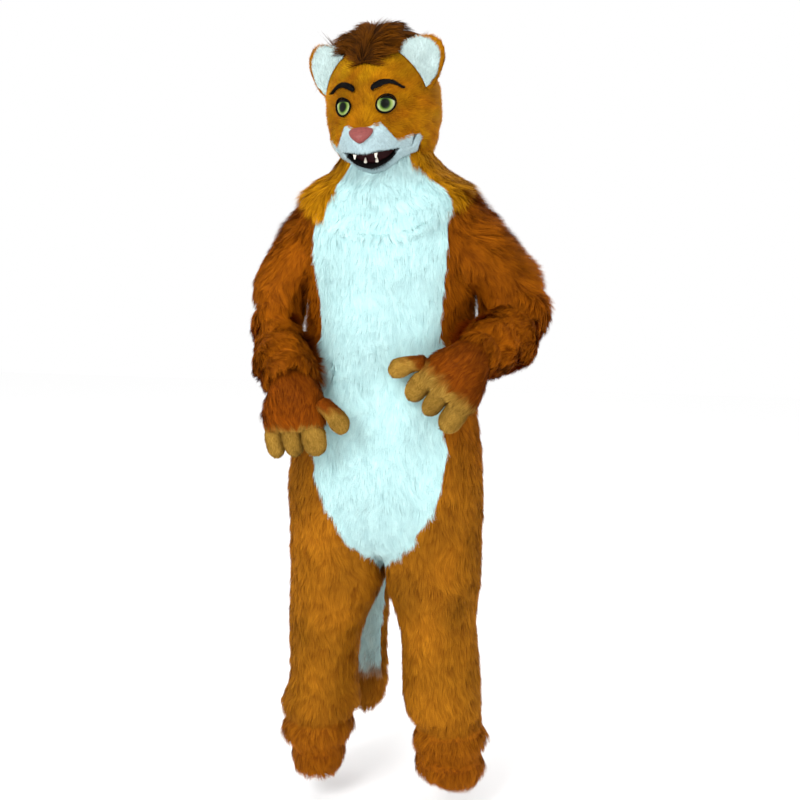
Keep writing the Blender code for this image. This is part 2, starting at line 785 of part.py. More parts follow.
def head_radius(turn, rise):
    """Distance of the head's surface from its middle, turn degrees from the front, rise above level."""
    wide = math.cos(math.radians(rise)) * math.sin(math.radians(turn))
    deep = math.cos(math.radians(rise)) * math.cos(math.radians(turn))
    high = math.sin(math.radians(rise))
    depth = SKULL_FRONT if deep > 0.0 else SKULL_BACK
    tall = SKULL_TOP if high > 0.0 else SKULL_BOTTOM
    base = 1.0 / math.sqrt((wide / SKULL_SIDE) ** 2 + (deep / depth) ** 2 + (high / tall) ** 2)
    for middle, level, height, half_turn, half_rise in HEAD_FORMS:
        for sign in ((1, -1) if middle else (1,)):
            apart = turn_apart(turn, sign * middle)
            base += height * bell(apart, half_turn) * bell(rise - level, half_rise)
    return base


def head_point(turn, rise, out=0.0):
    """A point on the head, out metres above its surface; turn is positive to the wearer's left."""
    radius = head_radius(turn, rise) + out
    local = Vector((
        radius * math.cos(math.radians(rise)) * math.sin(math.radians(turn)),
        -radius * math.cos(math.radians(rise)) * math.cos(math.radians(turn)),
        radius * math.sin(math.radians(rise)),
    ))
    return HEAD_MIDDLE + HEAD_PLACED @ local


def neck_rise(turn):
    """Where the head's lower edge lies, lower under the chin."""
    return CHIN_RISE - CHIN_DROP * bell(turn_apart(turn, 0.0), CHIN_HALF_TURN)


def white_top(turn):
    """Upper edge of the white muzzle and cheeks."""
    apart = abs(turn)
    if apart >= WHITE_END:
        return neck_rise(turn)
    return read(WHITE_EDGE, 1, apart)


def mouth_line(turn):
    """Lower edge of the upper lip."""
    return LIP_RISE - LIP_DROP * smooth_step(LIP_TURN, MOUTH_CORNER, abs(turn))


def lower_lip(turn):
    apart = abs(turn)
    if apart >= MUZZLE_END:
        return white_top(turn)
    open_share = max(0.0, 1.0 - (apart / MOUTH_CORNER) ** 2)
    return mouth_line(turn) - MOUTH_OPEN * open_share**0.7


def head_grid(turns, low, high, rows, out):
    """Rows of head points between two edges, at a depth or height over the surface."""
    grid = []
    for i in range(rows + 1):
        share = i / rows
        grid.append([head_point(turn, low(turn) + (high(turn) - low(turn)) * share, out) for turn in turns])
    return grid


def patch_wall(name, points_at, out_low, out_high, skin, wrap=False):
    """A raised piece on the head. points_at gives its rows of (turn, rise, share of full height)."""
    rows = points_at()
    lower = [[head_point(turn, rise, out_low) for turn, rise, _ in row] for row in rows]
    deep = out_high - out_low
    upper = [[head_point(turn, rise, out_low + deep * share) for turn, rise, share in row] for row in rows]
    return wall(name, upper, lower, skin, wrap=wrap)


def oval_place(turn, rise, half_turn, half_rise, share, angle, taper, slant):
    """A place on a ring of an oval; taper narrows its lower end and slant raises its outer side."""
    across = turn + half_turn * share * math.cos(angle) * (1.0 + taper * math.sin(angle))
    up = rise + half_rise * share * (math.sin(angle) + slant * math.cos(angle))
    return across, up


def disc_rows(turn, rise, half_turn, half_rise, sides, shares, taper, slant):
    """Rings from the rim to near the middle of an oval on the head."""
    rows = []
    for share in shares:
        dome = math.sqrt(max(0.0, 1.0 - 0.92 * share * share))
        row = []
        for i in range(sides):
            angle = 2.0 * math.pi * i / sides
            across, up = oval_place(turn, rise, half_turn, half_rise, share, angle, taper, slant)
            row.append((across, up, dome))
        rows.append(row)
    return rows


def disc(name, turn, rise, half_turn, half_rise, low, high, skin, taper=0.0, slant=0.0):
    """A closed dome on the head, its underside following the head's surface."""
    rows = disc_rows(turn, rise, half_turn, half_rise, DISC_SIDES, DISC_SHARES, taper, slant)
    upper = [[head_point(a, b, low + (high - low) * c) for a, b, c in row] for row in rows]
    lower = [[head_point(a, b, low) for a, b, _ in row] for row in rows]
    return wall(name, upper, lower, skin, wrap=True, closed_end=True, ends=())


def make_head_shell():
    gold = material("gold_fur", GOLD, 0.9)
    white = material("short_white_fur", WHITE, 0.9)
    for side, word in ((LEFT, "left"), (RIGHT, "right")):
        turns = [side * turn for turn in HEAD_COLUMNS]
        grids = [head_grid(turns, white_top, lambda turn: CROWN, GOLD_ROWS, out) for out in (0.0, -HEAD_WALL)]
        wall(f"head_{word}", grids[0], grids[1], gold)
    white_turns = [turn for turn in HEAD_COLUMNS if turn < WHITE_END]
    face_turns = [-turn for turn in white_turns[:0:-1]] + list(white_turns)
    muzzle_turns = [turn for turn in face_turns if abs(turn) < MUZZLE_END]
    muzzle = [head_grid(muzzle_turns, mouth_line, white_top, 7, out) for out in (0.0, -HEAD_WALL)]
    wall("muzzle", muzzle[0], muzzle[1], white)
    jaw = [head_grid(face_turns, neck_rise, lower_lip, 5, out) for out in (0.0, -HEAD_WALL)]
    wall("jaw", jaw[0], jaw[1], white)


def mouth_rows(depth, extra):
    """Rows of the mouth's lining, which bows back into the head behind the lips."""
    turns = [MOUTH_CORNER * share for share in LINING_SHARES]
    rows = []
    for i in range(LINING_ROWS + 1):
        share = i / LINING_ROWS
        row = []
        for turn in turns:
            low = lower_lip(turn) - LINING_LAP
            high = mouth_line(turn) + LINING_LAP
            bow = math.sin(math.pi * share) * math.cos(math.radians(90.0 * turn / MOUTH_CORNER / 1.1))
            inset = HEAD_WALL + LINING_GAP + depth * bow + extra
            row.append(head_point(turn, low + (high - low) * share, -inset))
        rows.append(row)
    return rows


def make_mouth():
    black = material("mouth_black", BLACK, 0.6)
    tooth = material("tooth", TOOTH_WHITE, 0.35)
    wall("mouth_lining", mouth_rows(MOUTH_DEPTH, 0.0), mouth_rows(MOUTH_DEPTH, LINING_THICK), black)
    for word, sign in (("left", 1), ("right", -1)):
        for row_word, place, gum, seat, way in (
            ("upper", TOOTH_TURN_UPPER, mouth_line, TOOTH_SEAT_UPPER, -1),
            ("lower", TOOTH_TURN_LOWER, lower_lip, TOOTH_SEAT_LOWER, 1),
        ):
            turn = sign * place
            base = head_point(turn, gum(turn), -HEAD_WALL * TOOTH_INSET)
            rings = []
            for share, size in TOOTH_SECTIONS:
                middle = base + Vector((0.0, 0.0, way * (seat + TOOTH_LENGTH * share)))
                radius = TOOTH_RADIUS * size
                rings.append([
                    middle + Vector((radius * math.cos(a), radius * math.sin(a), 0.0))
                    for a in (2.0 * math.pi * i / TOOTH_SIDES for i in range(TOOTH_SIDES))
                ])
            lofted(f"tooth_{row_word}_{word}", rings, tooth)


def make_face():
    black = material("eye_rim_black", BLACK, 0.45)
    eye = material("eye", EYE_GREEN, 0.15)
    brow = material("brow_fur", BLACK, 0.85)
    pink = material("nose", NOSE_PINK, 0.55)
    for word, sign in (("left", 1), ("right", -1)):
        place = sign * EYE_TURN, EYE_RISE, EYE_HALF_TURN, EYE_HALF_RISE
        disc(f"eye_{word}", *place, EYE_SEAT, EYE_HEIGHT, eye, slant=sign * EYE_SLANT)
        rim = []
        for share, height in EYE_RIM_SECTIONS:
            row = []
            for i in range(DISC_SIDES):
                angle = 2.0 * math.pi * i / DISC_SIDES
                row.append((*oval_place(*place, share, angle, 0.0, sign * EYE_SLANT), height))
            rim.append(row)
        patch_wall(f"eye_rim_{word}", lambda: rim, EYE_RIM_SEAT, EYE_RIM_HEIGHT, black, wrap=True)
        strip = []
        for lift in (-1.0, 1.0):
            row = []
            for i in range(7):
                share = i / 6
                turn = sign * (BROW_START + (BROW_END - BROW_START) * share)
                arc = BROW_RISE + BROW_ARC * math.sin(math.pi * (0.15 + 0.7 * share))
                blunt = BROW_BLUNT + (1.0 - BROW_BLUNT) * min(1.0, share * 5.0)
                half = BROW_HALF * blunt * (1.0 - BROW_TAPER * share**1.4)
                row.append((turn, arc + lift * half, 1.0))
            strip.append(row)
        patch_wall(f"brow_{word}", lambda: strip, BROW_SEAT, BROW_HEIGHT, brow)
    disc("nose", 0.0, NOSE_RISE, NOSE_HALF_TURN, NOSE_HALF_RISE, NOSE_SEAT, NOSE_HEIGHT, pink, NOSE_TAPER)


def ear_point(side, across, up, out):
    """A point of the ear: across from -1 at the crown to 1, up from head to rim, out to its back."""
    turn = side * (EAR_TURN + EAR_SLANT * across + math.degrees(out / SKULL_SIDE))
    base = head_point(turn, EAR_RISE - EAR_SPAN * across, EAR_SEAT)
    rim = EAR_TALL * math.sqrt(1.0 - (0.97 * across) ** 2)
    cup = EAR_CUP * (1.0 - across * across) * up**0.8
    lean = side * math.sin(EAR_SPLAY) * (0.6 + 0.4 * up)
    local = Vector((lean * rim * up, cup, math.cos(EAR_SPLAY) * rim * up))
    return base + HEAD_PLACED @ local


def make_ears():
    gold = material("gold_fur", GOLD, 0.9)
    white = material("short_white_fur", WHITE, 0.9)
    for side, word in ((LEFT, "left"), (RIGHT, "right")):
        ups = (0.0, 0.25, 0.5, 0.75, 1.0)
        acrosses = [-1.0 + i / 4 for i in range(9)]
        back = [[ear_point(side, a, u, EAR_THICK) for a in acrosses] for u in ups]
        front = [[ear_point(side, a, u, 0.0) for a in acrosses] for u in ups]
        wall(f"ear_{word}", back, front, gold)
        inner_acrosses = [EAR_INNER_SHARE * (-1.0 + i / 3) for i in range(7)]
        low = [[ear_point(side, a, u, -EAR_INNER_GAP) for a in inner_acrosses] for u in EAR_INNER_UPS]
        face = -EAR_INNER_GAP - EAR_INNER_THICK
        high = [[ear_point(side, a, u, face) for a in inner_acrosses] for u in EAR_INNER_UPS]
        wall(f"ear_inner_{word}", high, low, white)


def tuft_point(across, back, out_share):
    """A point of the hair tuft: across the crown from -1 to 1, back from 0 at the forehead to 1."""
    narrow = 0.05 + 0.95 * math.sin(math.pi * (0.02 + 0.66 * back)) ** 0.8
    side = TUFT_HALF_WIDTH * across * narrow
    depth = TUFT_FRONT + (TUFT_REACH - TUFT_FRONT) * back
    high = math.sqrt(max(1e-6, 1.0 - (side / SKULL_SIDE) ** 2 - (depth / SKULL_BACK) ** 2)) * SKULL_TOP
    turn = math.degrees(math.atan2(side, -depth))
    rise = math.degrees(math.atan2(high, math.hypot(side, depth)))
    lock = 0.5 + 0.5 * math.cos(2.0 * math.pi * TUFT_LOCKS * (across + 0.25 * back) / 2.0)
    body = math.sin(math.pi * (0.10 + 0.82 * back)) ** 0.7 * (1.0 - 0.62 * across * across)
    height = TUFT_HEIGHT * body * (0.68 + 0.32 * lock) + 0.004
    return head_point(turn, rise, TUFT_SEAT + height * out_share)


def make_tuft():
    hair = material("brown_hair", BROWN_HAIR, 0.8)
    backs = [i / (TUFT_ROWS - 1) for i in range(TUFT_ROWS)]
    acrosses = [-1.0 + 2.0 * i / (TUFT_COLUMNS - 1) for i in range(TUFT_COLUMNS)]
    outer = [[tuft_point(a, b, 1.0) for a in acrosses] for b in backs]
    inner = [[tuft_point(a, b, 0.0) for a in acrosses] for b in backs]
    wall("hair_tuft", outer, inner, hair)


def bib_low(turn):
    """Height of the bib's lower edge, for turns of a half circle: 0 front, 90 side, 180 back."""
    return read(BIB_EDGE, 1, abs(turn))


def bib_grid(turns, out):
    """Rows from the head's lower edge down over the suit. Turns are degrees from the front."""
    rows = []
    for i in range(BIB_ROWS + 1):
        row = []
        for turn in turns:
            edge = head_point(turn, neck_rise(turn), -HEAD_WALL + BIB_PILE * out)
            edge.z -= HEAD_SEAT
            if i == 0:
                row.append(edge)
                continue
            top = min(BIB_TOP, edge.z - BIB_DROP)
            height = top + (bib_low(turn) - top) * (i - 1) / (BIB_ROWS - 1)
            side = LEFT if turn >= 0.0 else RIGHT
            row.append(suit_point(side, 1.0 - abs(turn) / 90.0, height, -BIB_CLEAR - BIB_PILE * out))
        rows.append(row)
    return rows


def make_bib():
    gold = material("gold_fur", GOLD, 0.9)
    white = material("white_fur", WHITE, 0.9)
    front_turns = [-turn for turn in HEAD_COLUMNS[:0:-1] if turn <= BIB_WHITE[RIGHT]]
    front_turns += [turn for turn in HEAD_COLUMNS if turn <= BIB_WHITE[LEFT]]
    back_turns = [turn for turn in HEAD_COLUMNS if turn >= BIB_BACK]
    panels = (
        ("bib_front", front_turns, white),
        ("bib_left", [turn for turn in HEAD_COLUMNS if BIB_WHITE[LEFT] <= turn <= BIB_BACK], gold),
        ("bib_right", [-turn for turn in HEAD_COLUMNS if BIB_WHITE[RIGHT] <= turn <= BIB_BACK], gold),
        ("bib_back", back_turns + [-turn for turn in back_turns[-2::-1]], gold),
    )
    for name, turns, skin in panels:
        wall(name, bib_grid(turns, 1.0), bib_grid(turns, 0.0), skin)


def glove_frame(side):
    along = HAND_POINTS[side].normalized()
    back = HAND_BACK[side].normalized()
    back = (back - along * back.dot(along)).normalized()
    thumb = along.cross(back).normalized()
    toward = Vector((-0.75, 0.0, 0.65)) if side == LEFT else Vector((1.0, 0.0, 0.0))
    if thumb.dot(toward) < 0.0:
        thumb = -thumb
    return along, back, thumb


def glove_point(side, reach, angle, inset):
    along, back, thumb = glove_frame(side)
    wrist = ARM_ROUTE[side][2]
    fore = (wrist - ARM_ROUTE[side][1]).normalized()
    bend = smooth_step(0.0, 0.085, reach)
    middle = wrist + fore * reach * (1.0 - bend) + along * reach * bend
    half_width = read(GLOVE, 1, reach) - inset
    half_thick = read(GLOVE, 2, reach) - inset
    across = (thumb - fore * thumb.dot(fore) * (1.0 - bend)).normalized()
    upward = (back - fore * back.dot(fore) * (1.0 - bend)).normalized()
    return middle + across * half_width * math.cos(angle) + upward * half_thick * math.sin(angle)


def make_gloves():
    rust = material("rust_fur", RUST, 0.9)
    tan = material("tan_fur", TAN, 0.9)
    angles = [2.0 * math.pi * i / GLOVE_SIDES for i in range(GLOVE_SIDES)]
    reaches = [row[0] for row in GLOVE]
    for side, word in ((LEFT, "left"), (RIGHT, "right")):
        outer = [[glove_point(side, reach, angle, 0.0) for angle in angles] for reach in reaches]
        inner_reaches = reaches[:-1] + [reaches[-1] - GLOVE_WALL]
        inner = [[glove_point(side, reach, angle, GLOVE_WALL) for angle in angles] for reach in inner_reaches]
        wall(f"glove_{word}", outer, inner, rust, wrap=True, closed_end=True, ends=())
        along, back, thumb = glove_frame(side)
        knuckles = glove_point(side, reaches[-1], 0.0, 0.0) - thumb * GLOVE[-1][1]
        widths = FINGER_HALF_WIDTHS[side]
        across = -sum(widths) - FINGER_APART
        for number, half in enumerate(widths):
            fan = number - 1
            start = knuckles + thumb * (across + half) + along * (FINGER_SEAT + FINGER_FAN_SEAT * abs(fan))
            heading = (along + thumb * fan * FINGER_FAN).normalized()
            finger(f"finger_{word}_{number + 1}", start, heading, -back * FINGER_CURL[side], half, tan)
            across += 2.0 * half + FINGER_APART
        share = THUMB_ACROSS[side]
        heading = (thumb * share + along * math.sqrt(1.0 - share * share)).normalized()
        base = glove_point(side, THUMB_REACH[side], 0.0, 0.0) + thumb * THUMB_SEAT[side]
        finger(f"thumb_{word}", base, heading, (along - thumb * 0.3) * 0.30, THUMB_HALF, tan)


def finger(name, start, along, curl, half_width, skin):
    """A stuffed finger: oval sections along a route that curls toward the palm."""
    side = along.cross(curl).normalized()
    rings = []
    for share, size in FINGER_SECTIONS:
        middle = start + along * FINGER_LENGTH * share + curl * FINGER_LENGTH * share * share
        heading = (along + curl * 2.0 * share).normalized()
        up = heading.cross(side).normalized()
        rings.append([
            middle + (side * half_width * math.cos(a) + up * FINGER_HALF_THICK * math.sin(a)) * size
            for a in (2.0 * math.pi * i / FINGER_SIDES for i in range(FINGER_SIDES))
        ])
    lofted(name, rings, skin)


def tail_ring(row, turns, out):
    """Points round a tail section, in degrees from its front; out moves them off the surface."""
    x, y, height, half_width, half_depth = row
    index = TAIL.index(row)
    before = TAIL[max(index - 1, 0)]
    after = TAIL[min(index + 1, len(TAIL) - 1)]
    along = Vector((after[0] - before[0], after[1] - before[1], after[2] - before[2])).normalized()
    if index == 0:
        along = Vector((0.0, 1.0, 0.0))
    wide = Vector((1.0, 0.0, 0.0))
    wide = (wide - along * wide.dot(along)).normalized()
    front = along.cross(wide).normalized()
    if index == 0:
        front = Vector((0.0, 0.0, -1.0))
    elif front.y > 0.0 or (abs(front.y) < 0.2 and front.z > 0.0):
        front = -front
    middle = Vector((x, y, height))
    return [
        middle
        + wide * (half_width + out) * math.sin(math.radians(turn))
        + front * (half_depth + out) * math.cos(math.radians(turn))
        for turn in turns
    ]


def make_tail():
    rust = material("rust_fur", RUST, 0.9)
    white = material("white_fur", WHITE, 0.9)
    turns = [360.0 * i / TAIL_SIDES for i in range(TAIL_SIDES)]
    lofted("tail", [tail_ring(row, turns, 0.0) for row in TAIL], rust)
    strip = TAIL[TAIL_WHITE_FIRST:TAIL_WHITE_LAST]
    half = [360.0 / TAIL_SIDES * i for i in (-2, -1, 0, 1, 2)]
    outer = [tail_ring(row, half, PATCH_GAP + TAIL_WHITE_PILE) for row in strip]
    inner = [tail_ring(row, half, PATCH_GAP) for row in strip]
    wall("tail_front", outer, inner, white)


def main():
    clear_scene()
    make_suit()
    make_sleeves()
    make_head_shell()
    make_mouth()
    make_face()
    make_ears()
    make_tuft()
    make_bib()
    make_gloves()
    make_tail()


main()
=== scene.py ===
import math

import bpy
import numpy as np
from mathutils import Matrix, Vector
from mathutils.bvhtree import BVHTree
from mathutils.kdtree import KDTree


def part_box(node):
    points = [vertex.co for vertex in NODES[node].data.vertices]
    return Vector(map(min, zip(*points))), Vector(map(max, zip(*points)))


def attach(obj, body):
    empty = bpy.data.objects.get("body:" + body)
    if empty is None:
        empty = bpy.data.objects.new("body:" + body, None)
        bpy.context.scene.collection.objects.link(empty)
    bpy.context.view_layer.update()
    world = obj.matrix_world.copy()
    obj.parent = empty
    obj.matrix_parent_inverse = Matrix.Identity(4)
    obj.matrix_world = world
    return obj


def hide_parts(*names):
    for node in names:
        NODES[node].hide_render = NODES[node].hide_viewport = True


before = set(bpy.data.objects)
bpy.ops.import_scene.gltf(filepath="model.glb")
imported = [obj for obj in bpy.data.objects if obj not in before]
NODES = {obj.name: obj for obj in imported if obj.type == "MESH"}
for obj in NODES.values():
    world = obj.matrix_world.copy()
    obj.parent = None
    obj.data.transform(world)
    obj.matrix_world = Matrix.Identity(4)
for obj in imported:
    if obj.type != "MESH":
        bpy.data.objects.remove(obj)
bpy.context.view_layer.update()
RANDOM = np.random.default_rng(11)
UP = Vector((0.0, 0.0, 1.0))

# Sizes are in metres. Heights are measured from the wearer's shoulders, where the part's origin is.
FLOOR = -1.44
CROTCH = -0.79

# The camera stands where the photograph was taken from.
LENS = 59.1
SENSOR = 36.0
CAMERA_TURN = math.radians(13.0)
CAMERA_DIP = math.radians(8.77)
CAMERA_AWAY = 3.0
CAMERA_ASIDE = 0.034
CAMERA_HIGH = 0.01

# The arms' lines, from shoulder through elbow to wrist, and the way each hand points.
ARMS = {
    "left": ((0.212, 0.000, -0.075), (0.312, 0.030, -0.275), (0.242, -0.182, -0.323)),
    "right": ((-0.188, 0.000, -0.085), (-0.258, -0.030, -0.265), (-0.160, -0.208, -0.384)),
}
HANDS = {"left": (-0.64, -0.10, -0.76), "right": (0.10, -0.14, -0.98)}

# The mask head: its middle, and how far it turns and tips.
HEAD_MIDDLE = np.array((0.0, -0.012, 0.215))
HEAD_TURN = math.radians(-4.0)
HEAD_TIP = math.radians(-3.5)

# The nodes that share a kind of fur or a skin.
TORSO_NODES = ("front_left", "front_right", "back_left", "back_right", "belly_panel")
BACK_NODES = ("back_left", "back_right")
SLEEVE_NODES = ("sleeve_left", "sleeve_right")
FACE_NODES = ("muzzle", "jaw")
HEAD_NODES = ("head_left", "head_right") + FACE_NODES
BIB_NODES = ("bib_front", "bib_left", "bib_right", "bib_back")
GLOVE_NODES = ("glove_left", "glove_right")
EAR_NODES = ("ear_left", "ear_right")
EAR_INNER_NODES = ("ear_inner_left", "ear_inner_right")
BROW_NODES = ("brow_left", "brow_right")
THUMB_NODES = ("thumb_left", "thumb_right")
FINGER_NODES = THUMB_NODES + tuple(
    f"finger_{side}_{number}" for side in ("left", "right") for number in (1, 2, 3)
)


def side_of(name):
    return "left" if "left" in name else "right"


def srgb(red, green, blue):
    """A colour given as 0 to 255 on a screen, as linear light."""
    steps = np.array((red, green, blue)) / 255.0
    return np.where(steps <= 0.04045, steps / 12.92, ((steps + 0.055) / 1.055) ** 2.4)


# Fur colours: near the roots, and at the tips.
FUR_COLOURS = {
    "brown": (srgb(114, 58, 4), srgb(186, 118, 24)),
    "red_brown": (srgb(92, 38, 0), srgb(172, 94, 8)),
    "gold": (srgb(122, 66, 0), srgb(190, 126, 8)),
    "white": (srgb(172, 210, 212), srgb(211, 244, 243)),
    "grey_white": (srgb(150, 172, 178), srgb(193, 215, 218)),
    "ear_white": (srgb(166, 186, 186), srgb(192, 210, 206)),
    "tan": (srgb(104, 72, 14), srgb(184, 142, 62)),
    "paw_brown": (srgb(76, 28, 0), srgb(148, 74, 6)),
    "bib_gold": (srgb(126, 72, 0), srgb(204, 142, 14)),
    "dark_brown": (srgb(32, 12, 0), srgb(112, 62, 4)),
    "black": (srgb(8, 7, 7), srgb(26, 23, 22)),
}
PALE = ("white", "grey_white", "ear_white")


class Fur:
    """One kind of fur.

    Its colour, the length and width of a hair, the hairs on each square metre, how far the pelt lies
    under the solid's face, how far the tips stand above that face, how much the hairs clump into locks,
    how much they stray from their lay, and how many points each hair has along it.
    """

    def __init__(self, colour, length, width, density, inset, stand, clump, mess, grade=2):
        self.colour = colour
        self.length = length
        self.width = width
        self.density = density
        self.inset = inset
        self.stand = stand
        self.clump = clump
        self.mess = mess
        self.grade = grade


FURS = {
    "suit": Fur("brown", 0.032, 0.0011, 250000, 0.0055, 0.0028, 0.34, 0.30),
    "sleeve": Fur("red_brown", 0.036, 0.0012, 330000, 0.0055, 0.0034, 0.46, 0.40),
    "belly": Fur("white", 0.028, 0.0011, 380000, 0.0050, 0.0022, 0.22, 0.24),
    "tail": Fur("brown", 0.034, 0.0014, 150000, 0.0055, 0.0030, 0.40, 0.34),
    "tail_white": Fur("white", 0.026, 0.0013, 240000, 0.0015, 0.0035, 0.50, 0.34),
    "head": Fur("gold", 0.013, 0.0009, 520000, 0.0022, 0.0028, 0.35, 0.26),
    "face": Fur("grey_white", 0.007, 0.0008, 620000, 0.0012, 0.0016, 0.25, 0.20),
    "ear": Fur("gold", 0.009, 0.0010, 480000, 0.0010, 0.0022, 0.35, 0.26),
    "ear_inner": Fur("ear_white", 0.009, 0.0009, 560000, 0.0008, 0.0020, 0.30, 0.24),
    "bib_gold": Fur("bib_gold", 0.038, 0.0013, 280000, 0.0040, 0.0045, 0.50, 0.32),
    "bib_white": Fur("white", 0.034, 0.0012, 330000, 0.0040, 0.0045, 0.34, 0.28),
    "glove": Fur("paw_brown", 0.022, 0.0011, 330000, 0.0020, 0.0035, 0.45, 0.30),
    "finger": Fur("tan", 0.007, 0.0009, 560000, 0.0010, 0.0018, 0.30, 0.35),
    "tuft": Fur("dark_brown", 0.052, 0.0013, 190000, 0.0060, 0.0055, 0.55, 0.34, grade=4),
    "brow": Fur("black", 0.008, 0.0010, 900000, 0.0012, 0.0016, 0.30, 0.25),
}

# Which kind of fur each node has.
FUR_KIND = {
    **dict.fromkeys(TORSO_NODES, "suit"),
    **dict.fromkeys(SLEEVE_NODES, "sleeve"),
    **dict.fromkeys(HEAD_NODES, "head"),
    **dict.fromkeys(FACE_NODES, "face"),
    **dict.fromkeys(EAR_NODES, "ear"),
    **dict.fromkeys(EAR_INNER_NODES, "ear_inner"),
    **dict.fromkeys(BIB_NODES, "bib_gold"),
    **dict.fromkeys(GLOVE_NODES, "glove"),
    **dict.fromkeys(FINGER_NODES, "finger"),
    **dict.fromkeys(BROW_NODES, "brow"),
    "belly_panel": "belly",
    "bib_front": "bib_white",
    "tail": "tail",
    "tail_front": "tail_white",
    "hair_tuft": "tuft",
}


# Small helpers for arrays of points.
def crosses(points, triangles):
    a, b, c = (points[triangles[:, i]] for i in range(3))
    return np.cross(b - a, c - a)


def unit(vectors):
    return vectors / np.maximum(np.linalg.norm(vectors, axis=-1, keepdims=True), 1e-9)


def step_between(low, high, values):
    """A smooth step, 0 up to low and 1 from high on."""
    share = np.clip((values - low) / (high - low), 0.0, 1.0)
    return share * share * (3.0 - 2.0 * share)


def merged(points, triangles, per_metre):
    """Points in the same place made one, and triangles left out that have shrunk to a line."""
    keys = np.round(points * per_metre).astype(np.int64)
    _, first, place = np.unique(keys, axis=0, return_index=True, return_inverse=True)
    triangles = place.reshape(-1)[triangles].reshape(-1, 3)
    a, b, c = triangles.T
    return points[first], triangles[(a != b) & (b != c) & (c != a)]


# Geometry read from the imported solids.
READ_STEPS = 1e5
THUMB_ROOT = 0.045
THUMB_END = 0.3
THUMB_DRAW = 0.027


def read_node(name):
    """A solid's points and triangles."""
    mesh = NODES[name].data
    points = np.zeros(len(mesh.vertices) * 3, np.float64)
    mesh.vertices.foreach_get("co", points)
    mesh.calc_loop_triangles()
    triangles = np.zeros(len(mesh.loop_triangles) * 3, np.int64)
    mesh.loop_triangles.foreach_get("vertices", triangles)
    return merged(points.reshape(-1, 3), triangles, READ_STEPS)


def join_thumb(side):
    """Draws the thumb's root out to the glove, as fur covers that seam on the real paw."""
    name = "thumb_" + side
    points, triangles = SOLIDS[name]
    glove = SOLIDS["glove_" + side][0]
    reach = points @ unit(np.array(HANDS[side]))
    first = reach.min()
    root = points[reach < first + THUMB_ROOT * THUMB_END].mean(axis=0)
    nearest = glove[np.argmin(np.linalg.norm(glove - root, axis=1))]
    share = 1.0 - step_between(first, first + THUMB_ROOT, reach)
    SOLIDS[name] = (points + unit(nearest - root) * (share * THUMB_DRAW)[:, None], triangles)


SOLIDS = {name: read_node(name) for name in NODES}
for side in ("left", "right"):
    join_thumb(side)
FUR_NAMES = sorted(name for name in SOLIDS if name in FUR_KIND)


# Which triangles are skin: those that look at the sky, and not at the far wall of a hollow.
def tree_of(names):
    points, triangles, start = [], [], 0
    for name in names:
        own_points, own_triangles = SOLIDS[name]
        points.append(own_points)
        triangles.append(own_triangles + start)
        start += len(own_points)
    return BVHTree.FromPolygons(np.concatenate(points).tolist(), np.concatenate(triangles).tolist())


TREE_ALL = tree_of(sorted(SOLIDS))
TREES = {
    "torso": tree_of(TORSO_NODES),
    "left_leg": tree_of(("front_left", "back_left")),
    "right_leg": tree_of(("front_right", "back_right")),
    "head": tree_of(HEAD_NODES + ("mouth_lining",)),
    "bib": tree_of(BIB_NODES),
}
for lone in SLEEVE_NODES + GLOVE_NODES + ("hair_tuft",):
    TREES[lone] = tree_of((lone,))
HOLLOW_ACROSS = 0.34
WALL_MOST = 0.012
RAY_START = 0.0006
SKY_RAYS = 22
SKY_REACH = 0.40
# The least sky that a triangle sees: to be skin although a hollow's wall is across from it, to grow fur,
# and to grow fur on a thin piece.
SKY_INNER = 0.62
SKY_LEAST = 0.09
SKY_EDGE = 0.20


def group_of(name, middle):
    """The tree that a hollow's far wall is looked for in."""
    if name in TORSO_NODES:
        if middle[2] > CROTCH:
            return "torso"
        return "left_leg" if middle[0] > 0.0 else "right_leg"
    if name in HEAD_NODES:
        return "head"
    if name in BIB_NODES:
        return "bib"
    return name if name in TREES else None


def sky_rays():
    """Directions over a half sphere about +Z, evenly spread."""
    rays = []
    for i in range(SKY_RAYS):
        rise = math.sqrt((i + 0.5) / SKY_RAYS)
        turn = i * math.pi * (3.0 - math.sqrt(5.0))
        rays.append((math.cos(turn) * rise, math.sin(turn) * rise, math.sqrt(1.0 - rise * rise)))
    return rays


RAYS = sky_rays()


def outside(name):
    """For each triangle of a solid, how open it lies to the sky, and 0 on the inner side of a hollow."""
    points, triangles = SOLIDS[name]
    normals = unit(crosses(points, triangles))
    middles = points[triangles].mean(axis=1)
    open_share = np.zeros(len(triangles))
    for i, (middle, normal) in enumerate(zip(middles, normals)):
        up = Vector(normal)
        start = Vector(middle) + up * RAY_START
        group = group_of(name, middle)
        inner = False
        if group is not None:
            far = TREES[group].ray_cast(start, up, HOLLOW_ACROSS)[3]
            inner = far is not None and far > WALL_MOST
        side = up.orthogonal().normalized()
        other = up.cross(side)
        clear = 0
        for x, y, z in RAYS:
            if TREE_ALL.ray_cast(start, side * x + other * y + up * z, SKY_REACH)[0] is None:
                clear += 1
        share = clear / SKY_RAYS
        open_share[i] = 0.0 if (inner and share < SKY_INNER) else share
    return open_share


SKY = {name: outside(name) for name in FUR_NAMES}

# Smooth normals of the skin, shared across the seams inside each group.
SEAM_REACH = 0.0022
NORMAL_GROUPS = (TORSO_NODES + SLEEVE_NODES, HEAD_NODES, BIB_NODES)


